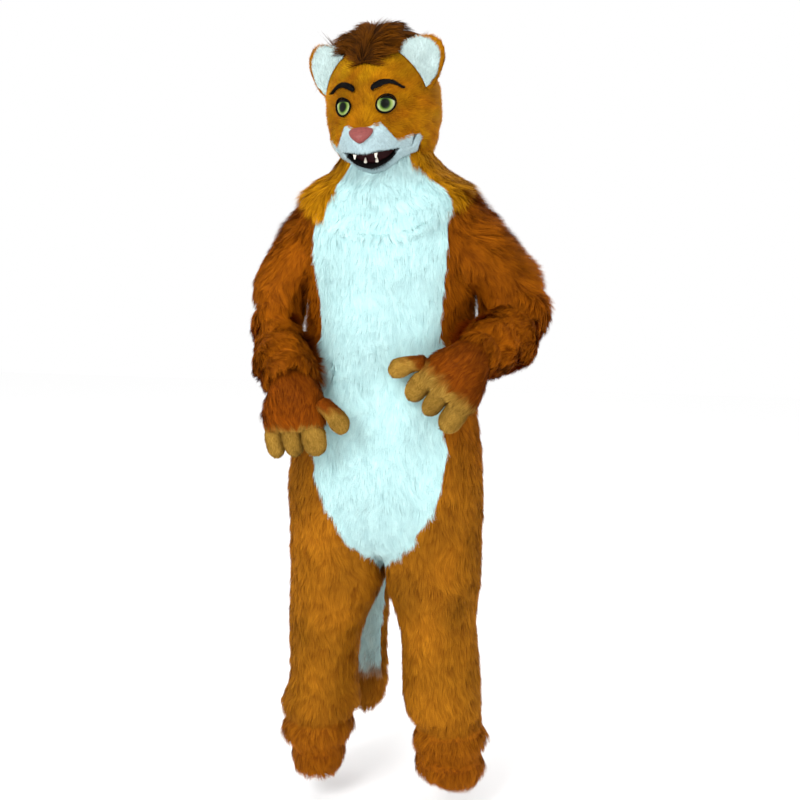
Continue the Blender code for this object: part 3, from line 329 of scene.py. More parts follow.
def skin_normals(name):
    """Summed normals at a solid's points, and which of its points are on the skin."""
    points, triangles = SOLIDS[name]
    normals = crosses(points, triangles)
    skin = SKY.get(name)
    shown = np.ones(len(triangles), bool) if skin is None else skin > 0.0
    summed = np.zeros_like(points)
    for corner in range(3):
        np.add.at(summed, triangles[shown, corner], normals[shown])
    bare = np.linalg.norm(summed, axis=1) < 1e-12
    spare = np.zeros_like(points)
    for corner in range(3):
        np.add.at(spare, triangles[:, corner], normals)
    summed[bare] = spare[bare]
    return summed, ~bare


def shared_normals():
    normals, on_skin = {}, {}
    for name in SOLIDS:
        normals[name], on_skin[name] = skin_normals(name)
    for group in NORMAL_GROUPS:
        entries = [(name, i) for name in group for i in np.flatnonzero(on_skin[name])]
        tree = KDTree(len(entries))
        for k, (name, i) in enumerate(entries):
            tree.insert(SOLIDS[name][0][i], k)
        tree.balance()
        joined = {}
        for name, i in entries:
            near = tree.find_range(SOLIDS[name][0][i], SEAM_REACH)
            if len(near) > 1:
                total = np.zeros(3)
                for _, other, _ in near:
                    total += normals[entries[other][0]][entries[other][1]]
                joined[(name, i)] = total
        for (name, i), total in joined.items():
            normals[name][i] = total
    return {name: unit(n) for name, n in normals.items()}, on_skin


NORMALS, ON_SKIN = shared_normals()
CREASE_BEND = (1.0, 12.0)


def crease_depth(name):
    """For each point of a solid, how sharply its skin folds inward there, 0 to 1."""
    points, triangles = SOLIDS[name]
    skin = ON_SKIN[name]
    pairs = np.concatenate([triangles[:, (0, 1)], triangles[:, (1, 2)], triangles[:, (2, 0)]])
    pairs = np.concatenate([pairs, pairs[:, ::-1]])
    pairs = pairs[skin[pairs].all(axis=1)]
    away = points[pairs[:, 1]] - points[pairs[:, 0]]
    far = np.maximum((away**2).sum(axis=1), 1e-8)
    rise = np.einsum("nj,nj->n", away, NORMALS[name][pairs[:, 0]]) / far
    count = np.maximum(np.bincount(pairs[:, 0], minlength=len(points)), 1)
    bend = np.bincount(pairs[:, 0], rise, minlength=len(points)) / count
    return step_between(*CREASE_BEND, bend)


# How deep each point lies in a crease, where painted shade darkens the fur.
CREASES = {name: crease_depth(name) for name in FUR_NAMES}

# Finer copies of the solids.
FLAT_SHARE = 0.28
BOWED_SHARE = 0.72
FINE_STEPS = 2e5


def rounded(corners, normals, weights):
    """Points inside triangles, bowed out to follow the corners' normals."""
    flat = np.einsum("nk,nkj->nj", weights, corners)
    bowed = np.zeros_like(flat)
    for k in range(3):
        out = np.einsum("nj,nj->n", flat - corners[:, k], normals[:, k])[:, None]
        bowed += weights[:, k : k + 1] * (flat - out * normals[:, k])
    return flat * FLAT_SHARE + bowed * BOWED_SHARE


def make_mesh(name, points, triangles):
    mesh = bpy.data.meshes.new(name)
    mesh.vertices.add(len(points))
    mesh.vertices.foreach_set("co", np.asarray(points, np.float32).ravel())
    mesh.loops.add(len(triangles) * 3)
    mesh.loops.foreach_set("vertex_index", np.asarray(triangles, np.int32).ravel())
    mesh.polygons.add(len(triangles))
    mesh.polygons.foreach_set("loop_start", np.arange(0, len(triangles) * 3, 3, dtype=np.int32))
    mesh.polygons.foreach_set("loop_total", np.full(len(triangles), 3, np.int32))
    mesh.update(calc_edges=True)
    mesh.shade_smooth()
    made = bpy.data.objects.new(name, mesh)
    bpy.context.scene.collection.objects.link(made)
    return made


def split_triangle(parts):
    """Shares of the three corners at the points of a finely split triangle, and its small triangles."""
    grid = [(i, j, parts - i - j) for i in range(parts + 1) for j in range(parts + 1 - i)]
    place = {spot: k for k, spot in enumerate(grid)}
    small = []
    for i in range(parts):
        for j in range(parts - i):
            k = parts - i - j
            right, ahead = place[(i + 1, j, k - 1)], place[(i, j + 1, k - 1)]
            small.append((place[(i, j, k)], right, ahead))
            if k >= 2:
                small.append((right, place[(i + 1, j + 1, k - 2)], ahead))
    shares = np.array(grid, float) / parts
    return shares[:, (2, 0, 1)], np.array(small)


def finer(name, parts, inset):
    """A smooth, finer copy of a solid, with its outer skin drawn in by inset."""
    points, triangles = SOLIDS[name]
    shares, small = split_triangle(parts)
    count = len(shares)
    drawn = ON_SKIN[name].astype(float)
    corners = np.repeat(points[triangles], count, axis=0)
    corner_normals = np.repeat(NORMALS[name][triangles], count, axis=0)
    weights = np.tile(shares, (len(triangles), 1))
    made = rounded(corners, corner_normals, weights)
    way = unit(np.einsum("nk,nkj->nj", weights, corner_normals))
    depth = np.einsum("nk,nk->n", weights, np.repeat(drawn[triangles], count, axis=0))
    made = made - way * (depth * inset)[:, None]
    starts = np.arange(len(triangles)) * count
    return merged(made, small[None, :, :] + starts[:, None, None], FINE_STEPS)


# Slow, smooth noise made of a few waves, the same on every run.
WAVE_COUNT = 7
WAVE_SPREAD = (0.6, 1.5)
WAVE_TURN = 6.283


def wave_set(scale):
    """Waves of about this length, each with its own way and start."""
    ways = unit(RANDOM.normal(size=(WAVE_COUNT, 3)))
    ways = ways * (2.0 * math.pi / scale) * RANDOM.uniform(*WAVE_SPREAD, (WAVE_COUNT, 1))
    return ways, RANDOM.uniform(0, WAVE_TURN, WAVE_COUNT)


def waves(points, some):
    """The sum of a set of waves at each point, mostly within -2 to 2."""
    ways, phases = some
    return np.sin(points @ ways.T + phases).sum(axis=1) / math.sqrt(len(phases) / 2.0)


SWIRL_WIDE = wave_set(0.11)
SWIRL_FINE = wave_set(0.035)
SWIRL_MIDDLE = wave_set(0.060)
LIFT = wave_set(0.030)
TINT_WIDE = wave_set(0.16)
TINT_FINE = wave_set(0.022)


# Places on the head.
def head_turning():
    """The head's own axes, as columns: to its left, back and up."""
    turn, tip = HEAD_TURN, HEAD_TIP
    about_up = np.array((
        (math.cos(turn), -math.sin(turn), 0.0),
        (math.sin(turn), math.cos(turn), 0.0),
        (0.0, 0.0, 1.0),
    ))
    about_back = np.array((
        (math.cos(tip), 0.0, math.sin(tip)),
        (0.0, 1.0, 0.0),
        (-math.sin(tip), 0.0, math.cos(tip)),
    ))
    return about_up @ about_back


HEAD_AXES = head_turning()
FACE = -HEAD_AXES[:, 1]
NOSE_AT = HEAD_MIDDLE + FACE * 0.170 + np.array((0.0, 0.0, -0.060))
HAIR_POINT = HEAD_MIDDLE + HEAD_AXES @ np.array((0.0, -0.118, 0.070))
# The mouth, in degrees on the head: its corners, how far it opens, where the upper lip is in its middle,
# how far that lip drops and from which turn on, how far the lips' black reaches, and how fast the mouth
# opens from its corners.
MOUTH_CORNER = 28.0
MOUTH_OPEN = 14.5
LIP_RISE = -35.8
LIP_DROP = 3.6
LIP_TURN = 8.0
LIP_BLACK = (1.0, 1.7)
LIP_CURVE = 0.7
# Heights over the mask's lower edge between which its fur turns long.
LOW_BAND = (0.006, 0.042)


def head_angles(points):
    """Turn from the face's middle and rise above level, in degrees, of points on the head."""
    own = (points - HEAD_MIDDLE) @ HEAD_AXES
    turn = np.degrees(np.arctan2(own[:, 0], -own[:, 1]))
    rise = np.degrees(np.arctan2(own[:, 2], np.hypot(own[:, 0], own[:, 1])))
    return turn, rise


def low_share(name, points):
    """How near each point is to the mask's lower edge, where longer fur hangs over the bib."""
    if name == "muzzle":
        return np.zeros(len(points))
    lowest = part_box(name)[0][2]
    return 1.0 - step_between(lowest + LOW_BAND[0], lowest + LOW_BAND[1], points[:, 2])


def lip_share(points):
    """How black the lips are at each point: 1 on the mouth's edge, 0 away from it."""
    turn, rise = head_angles(points)
    apart = np.abs(turn)
    upper = LIP_RISE - LIP_DROP * step_between(LIP_TURN, MOUTH_CORNER, apart)
    open_share = np.maximum(0.0, 1.0 - (apart / MOUTH_CORNER) ** 2)
    lower = upper - MOUTH_OPEN * open_share**LIP_CURVE
    far = np.minimum(np.abs(rise - upper), np.abs(rise - lower))
    far = np.where((rise < upper) & (rise > lower), 0.0, far)
    past = np.maximum(apart - MOUTH_CORNER, 0.0)
    return 1.0 - step_between(*LIP_BLACK, np.hypot(far, past))


# How the fur lies.
TAIL_SLANT = np.array((-0.25, 0.0, 0.0))
JOINT_BLEND = 0.05
FACE_BACK = 0.6
FACE_SINK = 0.7
SINK_OVER = 0.02
SINK_SPAN = 0.08
LOW_HANG = 1.6
EAR_ROOT = 0.01
BIB_SPREAD = 0.35
BROW_SLANT = 0.25
# The tuft: how wide its parting is, how far its hair sweeps to the sides, back and up, how much less it
# rises on the right and on the left, and where and how far it falls behind.
HAIR_PARTING = 0.016
HAIR_SWEEP = 1.3
HAIR_BACK = 0.5
HAIR_RISE = 0.45
HAIR_DROP = (0.75, 0.35)
HAIR_BEHIND = (0.10, 0.18)
HAIR_FALL = 1.1


def past_wrist(name, points):
    """How far each point lies past the wrist, along the way the hand points."""
    side = side_of(name)
    return (points - np.array(ARMS[side][2])) @ unit(np.array(HANDS[side]))


def lay_on_arm(name, points):
    shoulder, elbow, wrist = (np.array(p) for p in ARMS[side_of(name)])
    upper = unit(elbow - shoulder)
    fore = unit(wrist - elbow)
    past = np.clip(((points - elbow) @ unit(upper + fore)) / JOINT_BLEND * 0.5 + 0.5, 0.0, 1.0)[:, None]
    return unit(upper * (1.0 - past) + fore * past)


def lay_on_head(name, points, down):
    away = unit(points - NOSE_AT)
    back = np.tile(-FACE, (len(points), 1)) * FACE_BACK
    sunk = (HEAD_MIDDLE[2] + SINK_OVER - points[:, 2:3]) / SINK_SPAN
    sink = down * np.clip(sunk, 0.0, 1.0) * FACE_SINK
    return unit(away + back + sink + down * low_share(name, points)[:, None] * LOW_HANG)


def lay_on_tuft(points):
    own = (points - HAIR_POINT) @ HEAD_AXES
    apart = own[:, 0] / np.hypot(own[:, 0], HAIR_PARTING)
    rise = HAIR_RISE - np.where(apart < 0.0, *HAIR_DROP) * np.abs(apart)
    rise = rise - HAIR_FALL * step_between(*HAIR_BEHIND, own[:, 1])
    sweep = np.stack((apart * HAIR_SWEEP, np.full(len(own), HAIR_BACK), rise), axis=1)
    return unit(sweep @ HEAD_AXES.T)


def lay(name, points):
    """The way the fur lies at each point, before noise."""
    kind = FUR_KIND[name]
    down = np.tile(np.array((0.0, 0.0, -1.0)), (len(points), 1))
    if kind in ("tail", "tail_white"):
        return unit(down + TAIL_SLANT)
    if kind == "sleeve":
        return lay_on_arm(name, points)
    if kind == "glove":
        past = np.clip(past_wrist(name, points) / JOINT_BLEND, 0, 1)[:, None]
        return unit(lay_on_arm(name, points) * (1 - past) + unit(np.array(HANDS[side_of(name)])) * past)
    if kind == "finger":
        return np.tile(unit(np.array(HANDS[side_of(name)])), (len(points), 1))
    if kind in ("head", "face"):
        return lay_on_head(name, points, down)
    if kind in ("ear", "ear_inner"):
        low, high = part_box(name)
        middle = (np.array(low) + np.array(high)) / 2.0
        middle[2] = low[2] - EAR_ROOT
        return unit(points - middle)
    if kind in ("bib_gold", "bib_white"):
        away = points * (1.0, 1.0, 0.0)
        return unit(down + unit(away) * BIB_SPREAD)
    if kind == "tuft":
        return lay_on_tuft(points)
    if kind == "brow":
        outward = 1.0 if side_of(name) == "left" else -1.0
        return unit(np.tile(np.array((outward, BROW_SLANT, BROW_SLANT)), (len(points), 1)))
    return down


# Where the fur stands further out than its kind does.
# Between an arm and the body: at which heights, how far apart they may be, and the most it adds.
GAP_HEIGHTS = (-0.46, -0.10)
GAP_REACH = 0.075
GAP_LEVEL = 0.6
GAP_LIFT = 0.034
# On each shoulder: from which height to which, and by how much.
SHOULDERS = {"left": (-0.25, 0.02, 0.020), "right": (-0.13, 0.02, 0.014)}
SHOULDER_FADE = (0.10, 0.05)
SHOULDER_OUT = (0.11, 0.17)
SHOULDER_FACES = (0.0, 0.6)
SHOULDER_NODES = SLEEVE_NODES + BACK_NODES + ("front_left", "front_right") + BIB_NODES[1:]
# The tuft's hair is longer on its right side, and the mask's fur on its cheeks and lower edge.
TUFT_LONGER = (0.01, 0.06)
CHEEK_TURN = (46.0, 84.0)
CHEEK_RISE = (10.0, 48.0)
CHEEK_LONGER = 1.3
FACE_LONGER = 2.6
LIP_SHORTER = 0.7


def gap_lift(name, roots, normals):
    """How much further the fur stands out where an arm and the body face each other closely."""
    lift = np.zeros(len(roots))
    if name not in TORSO_NODES + SLEEVE_NODES:
        return lift
    others = ("torso",) if name in SLEEVE_NODES else SLEEVE_NODES
    low, high = GAP_HEIGHTS
    near = (np.abs(normals[:, 2]) < GAP_LEVEL) & (roots[:, 2] > low) & (roots[:, 2] < high)
    for i in np.flatnonzero(near):
        for other in others:
            far = TREES[other].ray_cast(Vector(roots[i]), Vector(normals[i]), GAP_REACH)[3]
            if far is not None:
                lift[i] = max(lift[i], min(far * 0.5, GAP_LIFT))
    return lift


def shoulder_lift(name, points, normals):
    """How much further the fur stands out on the tops and outer sides of the shoulders."""
    if name not in SHOULDER_NODES:
        return np.zeros(len(points))
    side = side_of(name)
    outward = 1.0 if side == "left" else -1.0
    low, high, reach = SHOULDERS[side]
    above = step_between(low, low + SHOULDER_FADE[0], points[:, 2])
    tall = above * (1.0 - step_between(high, high + SHOULDER_FADE[1], points[:, 2]))
    out = step_between(*SHOULDER_OUT, points[:, 0] * outward)
    faces = step_between(*SHOULDER_FACES, normals[:, 0] * outward + np.maximum(normals[:, 2], 0.0))
    return reach * tall * out * faces


def longer_at(name, points):
    """How much longer than its kind's own length the fur is at each point."""
    kind = FUR_KIND[name]
    if kind == "tuft":
        own = (points - HAIR_POINT) @ HEAD_AXES
        return 1.0 + step_between(*TUFT_LONGER, -own[:, 0])
    if kind == "face":
        return (1.0 + FACE_LONGER * low_share(name, points)) * (1.0 - LIP_SHORTER * lip_share(points))
    if kind != "head":
        return np.ones(len(points))
    turn, rise = head_angles(points)
    cheek = step_between(*CHEEK_TURN, np.abs(turn)) * (1.0 - step_between(*CHEEK_RISE, rise))
    return 1.0 + CHEEK_LONGER * np.maximum(cheek, low_share(name, points))


# Colours over the cloth. PAW_TAN is how far from the wrist the brown of a paw's back turns to the tan of
# its fingers, and THUMB_BROWN the same on a thumb. SUIT_RUST is from which height up to which the suit
# turns to the sleeves' red brown, and ANKLE_RUST how much of that the folds at the ankles have.
PAW_TAN = {"left": (0.062, 0.092), "right": (0.088, 0.106)}
THUMB_BROWN = {"left": (0.085, 0.115), "right": (0.060, 0.085)}
PAW_WAVE = 0.004
SUIT_RUST = (-0.66, -0.34)
RUST_WAVE = 0.02
ANKLE_HEIGHTS = (-1.28, -1.14)
ANKLE_RUST = 0.78
TAIL_END = (0.004, 0.060)
TAIL_WAVE = 0.006
# How strong the slow waves of tone are, on plain fur and on white.
TONE_WAVE = 0.10
TONE_WAVE_PALE = 0.035
# Fadings: the height where each starts, how far up or down it goes, and what it does to the colour.
LEG_FADE = (-0.55, -0.5, np.array((0.04, 0.08, 0.10)))
ARM_FADE = (-0.16, 0.14, -0.12)
BELLY_FADE = (-0.62, -0.14, -0.10)
# The suit's sides are darker, from a share of this distance from its middle on.
SIDE_AT = 0.18
SIDE_FROM = 0.55
SIDE_DARK = 0.10
# The mask: darker in the middle of the face, paler on the crown, and a little uneven.
MIDDLE_TURN = (14.0, 40.0)
MIDDLE_RISE = (4.0, 24.0)
MIDDLE_DARK = 0.15
CROWN_RISE = (14.0, 36.0)
CROWN_PALE = np.array((0.02, 0.24, 0.60))
CROWN_WAVE = 0.055
MASK_WAVE = 0.07
# Painted shade on the bib's white under the jaw: the heights between which it deepens upward, and how much
# darker it makes the white.
CHIN_SHADE = (0.035, 0.080)
CHIN_PAINTED_SHADE = 0.26


def faded(height, start, span, change):
    return 1.0 + np.clip((height - start) / span, 0.0, 1.0)[:, None] * change


def tint_at(name, points):
    """Slow changes of colour over the cloth, and painted shade on the bib under the jaw, as a factor for
    red, green and blue.
    """
    kind = FUR_KIND[name]
    height = points[:, 2]
    pale = kind in ("belly", "bib_white", "face", "ear_inner", "tail_white")
    base = np.ones((len(points), 3))
    base *= (1.0 + (TONE_WAVE_PALE if pale else TONE_WAVE) * waves(points, TINT_WIDE))[:, None]
    if kind == "suit":
        base *= faded(height, *LEG_FADE)
        side = np.clip(np.abs(points[:, 0]) / SIDE_AT - SIDE_FROM, 0.0, 1.0)[:, None]
        base *= 1.0 - side * SIDE_DARK
    if kind == "sleeve":
        base *= faded(height, *ARM_FADE)
    if kind == "head":
        turn, rise = head_angles(points)
        middle = (1.0 - step_between(*MIDDLE_TURN, np.abs(turn))) * (1.0 - step_between(*MIDDLE_RISE, rise))
        base *= 1.0 - MIDDLE_DARK * middle[:, None]
        base *= 1.0 + step_between(*CROWN_RISE, rise)[:, None] * CROWN_PALE
        base[:, 1] *= 1.0 + CROWN_WAVE * waves(points, SWIRL_MIDDLE)
        base *= (1.0 + MASK_WAVE * waves(points, SWIRL_FINE))[:, None]
    # Painted shade: the bib's white darkens toward the jaw, where the jaw shades it.
    if kind == "bib_white":
        base *= 1.0 - CHIN_PAINTED_SHADE * step_between(*CHIN_SHADE, height)[:, None]
    if kind == "belly":
        base *= faded(height, *BELLY_FADE)
    return base


def other_colour(name, points):
    """The second colour that a piece of fur turns to, and its share at each point."""
    kind = FUR_KIND[name]
    if name in THUMB_NODES:
        reach = past_wrist(name, points) + waves(points, TINT_FINE) * PAW_WAVE
        return "paw_brown", 1.0 - step_between(*THUMB_BROWN[side_of(name)], reach)
    if kind == "glove":
        reach = past_wrist(name, points) + waves(points, TINT_FINE) * PAW_WAVE
        return "tan", step_between(*PAW_TAN[side_of(name)], reach)
    if kind == "suit":
        share = step_between(*SUIT_RUST, points[:, 2] + waves(points, TINT_WIDE) * RUST_WAVE)
        ankle = ANKLE_RUST * (1.0 - step_between(*ANKLE_HEIGHTS, points[:, 2]))
        return "red_brown", np.maximum(share, ankle)
    if kind == "tail_white":
        lowest = SOLIDS[name][0][:, 2].min()
        high = points[:, 2] - lowest + waves(points, TINT_FINE) * TAIL_WAVE
        return "brown", 1.0 - step_between(*TAIL_END, high)
    if kind == "face":
        return "black", lip_share(points)
    return None, None


def shades(name, points):
    """Colours of the fur near its roots and at its tips, at each point."""
    tone = tint_at(name, points)
    dark, light = (colour * tone for colour in FUR_COLOURS[FURS[FUR_KIND[name]].colour])
    other, share = other_colour(name, points)
    if other:
        share = share[:, None]
        pairs = zip((dark, light), FUR_COLOURS[other])
        dark, light = (old * (1.0 - share) + new * share for old, new in pairs)
    return dark, light


# How one hair differs from the next. Each mix is a mean, the share of a wave and the share of chance.
BACK_SHARE = 0.70
SWAY_WIDE, SWAY_MIDDLE, SWAY_FINE, SWAY_CHANCE = 0.55, 0.60, 0.55, 0.35
TWIST = 0.55
LENGTH_MIX = (0.78, 0.16, 0.22)
LENGTH_RANGE = (0.35, 1.35)
STAND_MIX = (0.55, 0.40, 0.45)
LIFT_LEAST = 0.0006
LIFT_MOST = 1.9
SPARE_LEAST = 0.35
ROOT_SINK = 0.0004
KNEE_ALONG = 0.45
KNEE_LIFT = 0.86
WIDTH_LEAST, WIDTH_SPREAD = 0.75, 0.5
HALF_AT_ROOT, HALF_LOST = 0.5, 0.34
# Locks: the size of the cells whose hairs clump, in hair lengths, and how they stray.
LOCK_CELL = 0.34
LOCK_SHIFT = 0.001
LOCK_JITTER = 0.09
PULL_LEAST, PULL_SPREAD = 0.7, 0.3
TIP_MOST = 1.8
# Tone: how far painted shade darkens the fur in its creases, on most fur and on pale fur, and how a hair
# goes from its root's colour to its tip's.
CREASE_SHADE = 0.74
CREASE_SHADE_PALE = 0.16
STRAND_DARK = 0.80
STRAND_PALE = 0.46
TONE_MEAN = 0.41
TONE_FINE = 0.10
LOCK_TONE = 0.13
MIX_HAIR, MIX_ALONG, MIX_MOST = 0.55, 0.62, 1.15
SOFT_OUT, SOFT_ACROSS = 0.8, 0.1


def varied(mix, wave, total):
    """A mean, a wave and chance, added up in the shares that mix gives."""
    mean, waved, chance = mix
    return mean + waved * wave + chance * RANDOM.normal(size=total)


def scatter(name, kind):
    """Random places on the skin: the triangle of each, and its shares of the triangle's corners."""
    points, triangles = SOLIDS[name]
    areas = np.linalg.norm(crosses(points, triangles), axis=1) / 2.0
    thin = name in EAR_INNER_NODES + BROW_NODES + ("tail_front",)
    weight = areas * (SKY[name] > (SKY_EDGE if thin else SKY_LEAST))
    density = kind.density * 1.0 * (BACK_SHARE if name in BACK_NODES else 1.0)
    total = int(weight.sum() * density)
    pick = RANDOM.choice(len(triangles), total, p=weight / weight.sum())
    a, b = RANDOM.random(total), RANDOM.random(total)
    over = a + b > 1.0
    a[over], b[over] = 1.0 - a[over], 1.0 - b[over]
    return pick, np.stack((1.0 - a - b, a, b), axis=1)


def hair_way(name, kind, root, normal):
    """The way each hair lies, along the skin, and the way its flat side faces."""
    total = len(root)
    way = lay(name, root)
    side = np.cross(normal, way)
    sway = waves(root, SWIRL_WIDE) * SWAY_WIDE + waves(root, SWIRL_MIDDLE) * SWAY_MIDDLE
    sway = sway + waves(root, SWIRL_FINE) * SWAY_FINE
    bend = sway * kind.mess + RANDOM.normal(size=total) * kind.mess * SWAY_CHANCE
    way = way + unit(side) * bend[:, None]
    way = unit(way - normal * np.einsum("nj,nj->n", way, normal)[:, None])
    across = np.cross(normal, way)
    twist = RANDOM.normal(size=total) * TWIST
    return way, unit(across * np.cos(twist)[:, None] + normal * np.sin(twist)[:, None])


def clump(kind, root, normal, tip, spare):
    """Draws the tips of neighbouring hairs together, and says which lock each hair is in."""
    moved = root + RANDOM.normal(size=3) * LOCK_SHIFT
    cells = np.round(moved / (kind.length * LOCK_CELL)).astype(np.int64)
    _, lock = np.unique(cells, axis=0, return_inverse=True)
    lock = lock.reshape(-1)
    counts = np.maximum(np.bincount(lock), 1)[:, None]
    means = np.stack([np.bincount(lock, tip[:, k]) for k in range(3)], axis=1) / counts
    jitter = RANDOM.normal(size=means.shape) * kind.length * LOCK_JITTER
    pull = kind.clump * (PULL_LEAST + PULL_SPREAD * RANDOM.random(len(root)))[:, None]
    tip = tip * (1.0 - pull) + (means + jitter)[lock] * pull
    height = np.einsum("nj,nj->n", tip - root, normal)
    return tip - normal * np.maximum(height - kind.stand * TIP_MOST - spare, 0.0)[:, None], lock


def hair_rows(kind, base, knee, tip, across):
    """The points of every hair: two at each step along it and one at its tip."""
    widths = kind.width * (WIDTH_LEAST + WIDTH_SPREAD * RANDOM.random(len(base)))
    rows = []
    for share in np.linspace(0.0, 1.0, kind.grade)[:-1]:
        line = base * (1 - share) ** 2 + knee * 2 * share * (1 - share) + tip * share**2
        half = (widths * (HALF_AT_ROOT - HALF_LOST * share**2))[:, None]
        rows.append(line - across * half)
        rows.append(line + across * half)
    rows.append(tip)
    return np.stack(rows, axis=1)


def hair_faces(steps, per, total):
    """The triangles of every hair, from its number of steps and of points."""
    faces = []
    for left in range(0, 2 * (steps - 2), 2):
        right, next_left, next_right = left + 1, left + 2, left + 3
        faces.append((left, next_right, right))
        faces.append((left, next_left, next_right))
    faces.append((per - 3, per - 1, per - 2))
    return (np.array(faces)[None, :, :] + (np.arange(total) * per)[:, None, None]).reshape(-1, 3)


def hair_colours(name, kind, root, crease, lock, per):
    """A colour for each point of every hair."""
    pale = kind.colour in PALE
    total = len(root)
    # Painted shade: the fur's colour is darkened where its skin folds into a crease.
    deep = 1.0 - crease[:, None] * (CREASE_SHADE_PALE if pale else CREASE_SHADE)
    dark, light = (colour * deep for colour in shades(name, root))
    strand = STRAND_PALE if pale else STRAND_DARK
    shade = TONE_MEAN + strand * (RANDOM.random(total) - 0.5) + TONE_FINE * waves(root, TINT_FINE)
    lock_tone = RANDOM.normal(size=lock.max() + 1)[lock] * LOCK_TONE
    shares = np.linspace(0.0, 1.0, kind.grade)
    colours = np.ones((total, per, 4), np.float32)
    for k in range(per):
        mix = np.clip(shade * MIX_HAIR + MIX_ALONG * shares[k // 2] + lock_tone, 0.0, MIX_MOST)[:, None]
        colours[:, k, :3] = np.clip(dark * (1.0 - mix) + light * mix, 0.0, 1.0)
    return colours


def tint(made, colours):
    """Stores a colour for each point of a mesh, where the materials look for it."""
    layer = made.data.color_attributes.new("Tint", "FLOAT_COLOR", "POINT")
    layer.data.foreach_set("color", colours.ravel())


def grow(name):
    """The fur of one solid, as one mesh of tapered flat hairs."""
    kind = FURS[FUR_KIND[name]]
    points, triangles = SOLIDS[name]
    pick, weights = scatter(name, kind)
    total = len(pick)
    spots = triangles[pick]
    root = rounded(points[spots], NORMALS[name][spots], weights)
    normal = unit(np.einsum("nk,nkj->nj", weights, NORMALS[name][spots]))
    skin = np.einsum("nk,nk->n", weights, ON_SKIN[name][spots].astype(float))
    way, across = hair_way(name, kind, root, normal)
    length = varied(LENGTH_MIX, waves(root, SWIRL_FINE), total)
    longer = longer_at(name, root)
    length = kind.length * longer * np.clip(length, *LENGTH_RANGE)
    stand = kind.stand * varied(STAND_MIX, waves(root, LIFT), total) * longer**0.5
    lift = np.clip(kind.inset + stand, LIFT_LEAST, kind.inset + kind.stand * LIFT_MOST)
    spare = gap_lift(name, root, normal) + shoulder_lift(name, root, normal)
    spare = spare * (SPARE_LEAST + (1.0 - SPARE_LEAST) * RANDOM.random(total))
    lift = lift + spare
    base = root - normal * (kind.inset * skin)[:, None] - normal * ROOT_SINK
    knee = base + way * (length * KNEE_ALONG)[:, None] + normal * (lift * KNEE_LIFT)[:, None]
    tip = base + way * length[:, None] + normal * lift[:, None]
    tip, lock = clump(kind, root, normal, tip, spare)
    rows = hair_rows(kind, base, knee, tip, across)
    per = rows.shape[1]
    made = make_mesh(name + "_fur", rows.reshape(-1, 3), hair_faces(kind.grade, per, total))
    crease = np.einsum("nk,nk->n", weights, CREASES[name][spots])
    tint(made, hair_colours(name, kind, root, crease, lock, per))
    soft = unit(normal * SOFT_OUT + np.cross(way, across) * SOFT_ACROSS)
    made.data.normals_split_custom_set_from_vertices(np.repeat(soft, per, axis=0).astype(np.float32))
    made.data.materials.append(FUR_STRANDS)
    return made


# Materials.
def new_material(name, roughness, shine):
    """A material with its shader, its nodes and its links."""
    made = bpy.data.materials.new(name)
    made.use_nodes = True
    nodes, joins = made.node_tree.nodes, made.node_tree.links
    shader = nodes["Principled BSDF"]
    shader.inputs["Roughness"].default_value = roughness
    shader.inputs["Specular IOR Level"].default_value = shine
    return made, shader, nodes, joins


def tint_node(nodes):
    made = nodes.new("ShaderNodeVertexColor")
    made.layer_name = "Tint"
    return made.outputs["Color"]


def grain_node(nodes, joins, scale, detail, stretch=None):
    """Fine noise in the object's own space, drawn out along an axis if stretch says so."""
    place = nodes.new("ShaderNodeTexCoord").outputs["Object"]
    if stretch:
        mapping = nodes.new("ShaderNodeMapping")
        mapping.inputs["Scale"].default_value = stretch
        joins.new(place, mapping.inputs["Vector"])
        place = mapping.outputs["Vector"]
    made = nodes.new("ShaderNodeTexNoise")
    made.inputs["Scale"].default_value = scale
    made.inputs["Detail"].default_value = detail
    joins.new(place, made.inputs["Vector"])
    return made.outputs["Fac"]


def bump_node(nodes, joins, shader, height, strength, distance):
    made = nodes.new("ShaderNodeBump")
    made.inputs["Strength"].default_value = strength
    made.inputs["Distance"].default_value = distance
    joins.new(height, made.inputs["Height"])
    joins.new(made.outputs["Normal"], shader.inputs["Normal"])


def ramp_node(nodes, joins, share, stops):
    """Colours along a share from 0 to 1, from rows of a position and a colour."""
    made = nodes.new("ShaderNodeValToRGB")
    elements = made.color_ramp.elements
    for element, (position, _) in zip(elements, (stops[0], stops[-1])):
        element.position = position
    for position, _ in stops[1:-1]:
        elements.new(position)
    for element, (_, colour) in zip(elements, stops):
        element.color = (*(float(c) for c in colour), 1.0)
    joins.new(share, made.inputs["Fac"])
    return made.outputs["Color"]


def math_node(nodes, joins, operation, *values):
    """One step of arithmetic on sockets and plain numbers."""
    made = nodes.new("ShaderNodeMath")
    made.operation = operation
    for socket, value in zip(made.inputs, values):
        if isinstance(value, float):
            socket.default_value = value
        else:
            joins.new(value, socket)
    return made.outputs[0]


def fur_material():
    made, shader, nodes, joins = new_material("Fur", roughness=0.66, shine=0.04)
    joins.new(tint_node(nodes), shader.inputs["Base Color"])
    return made


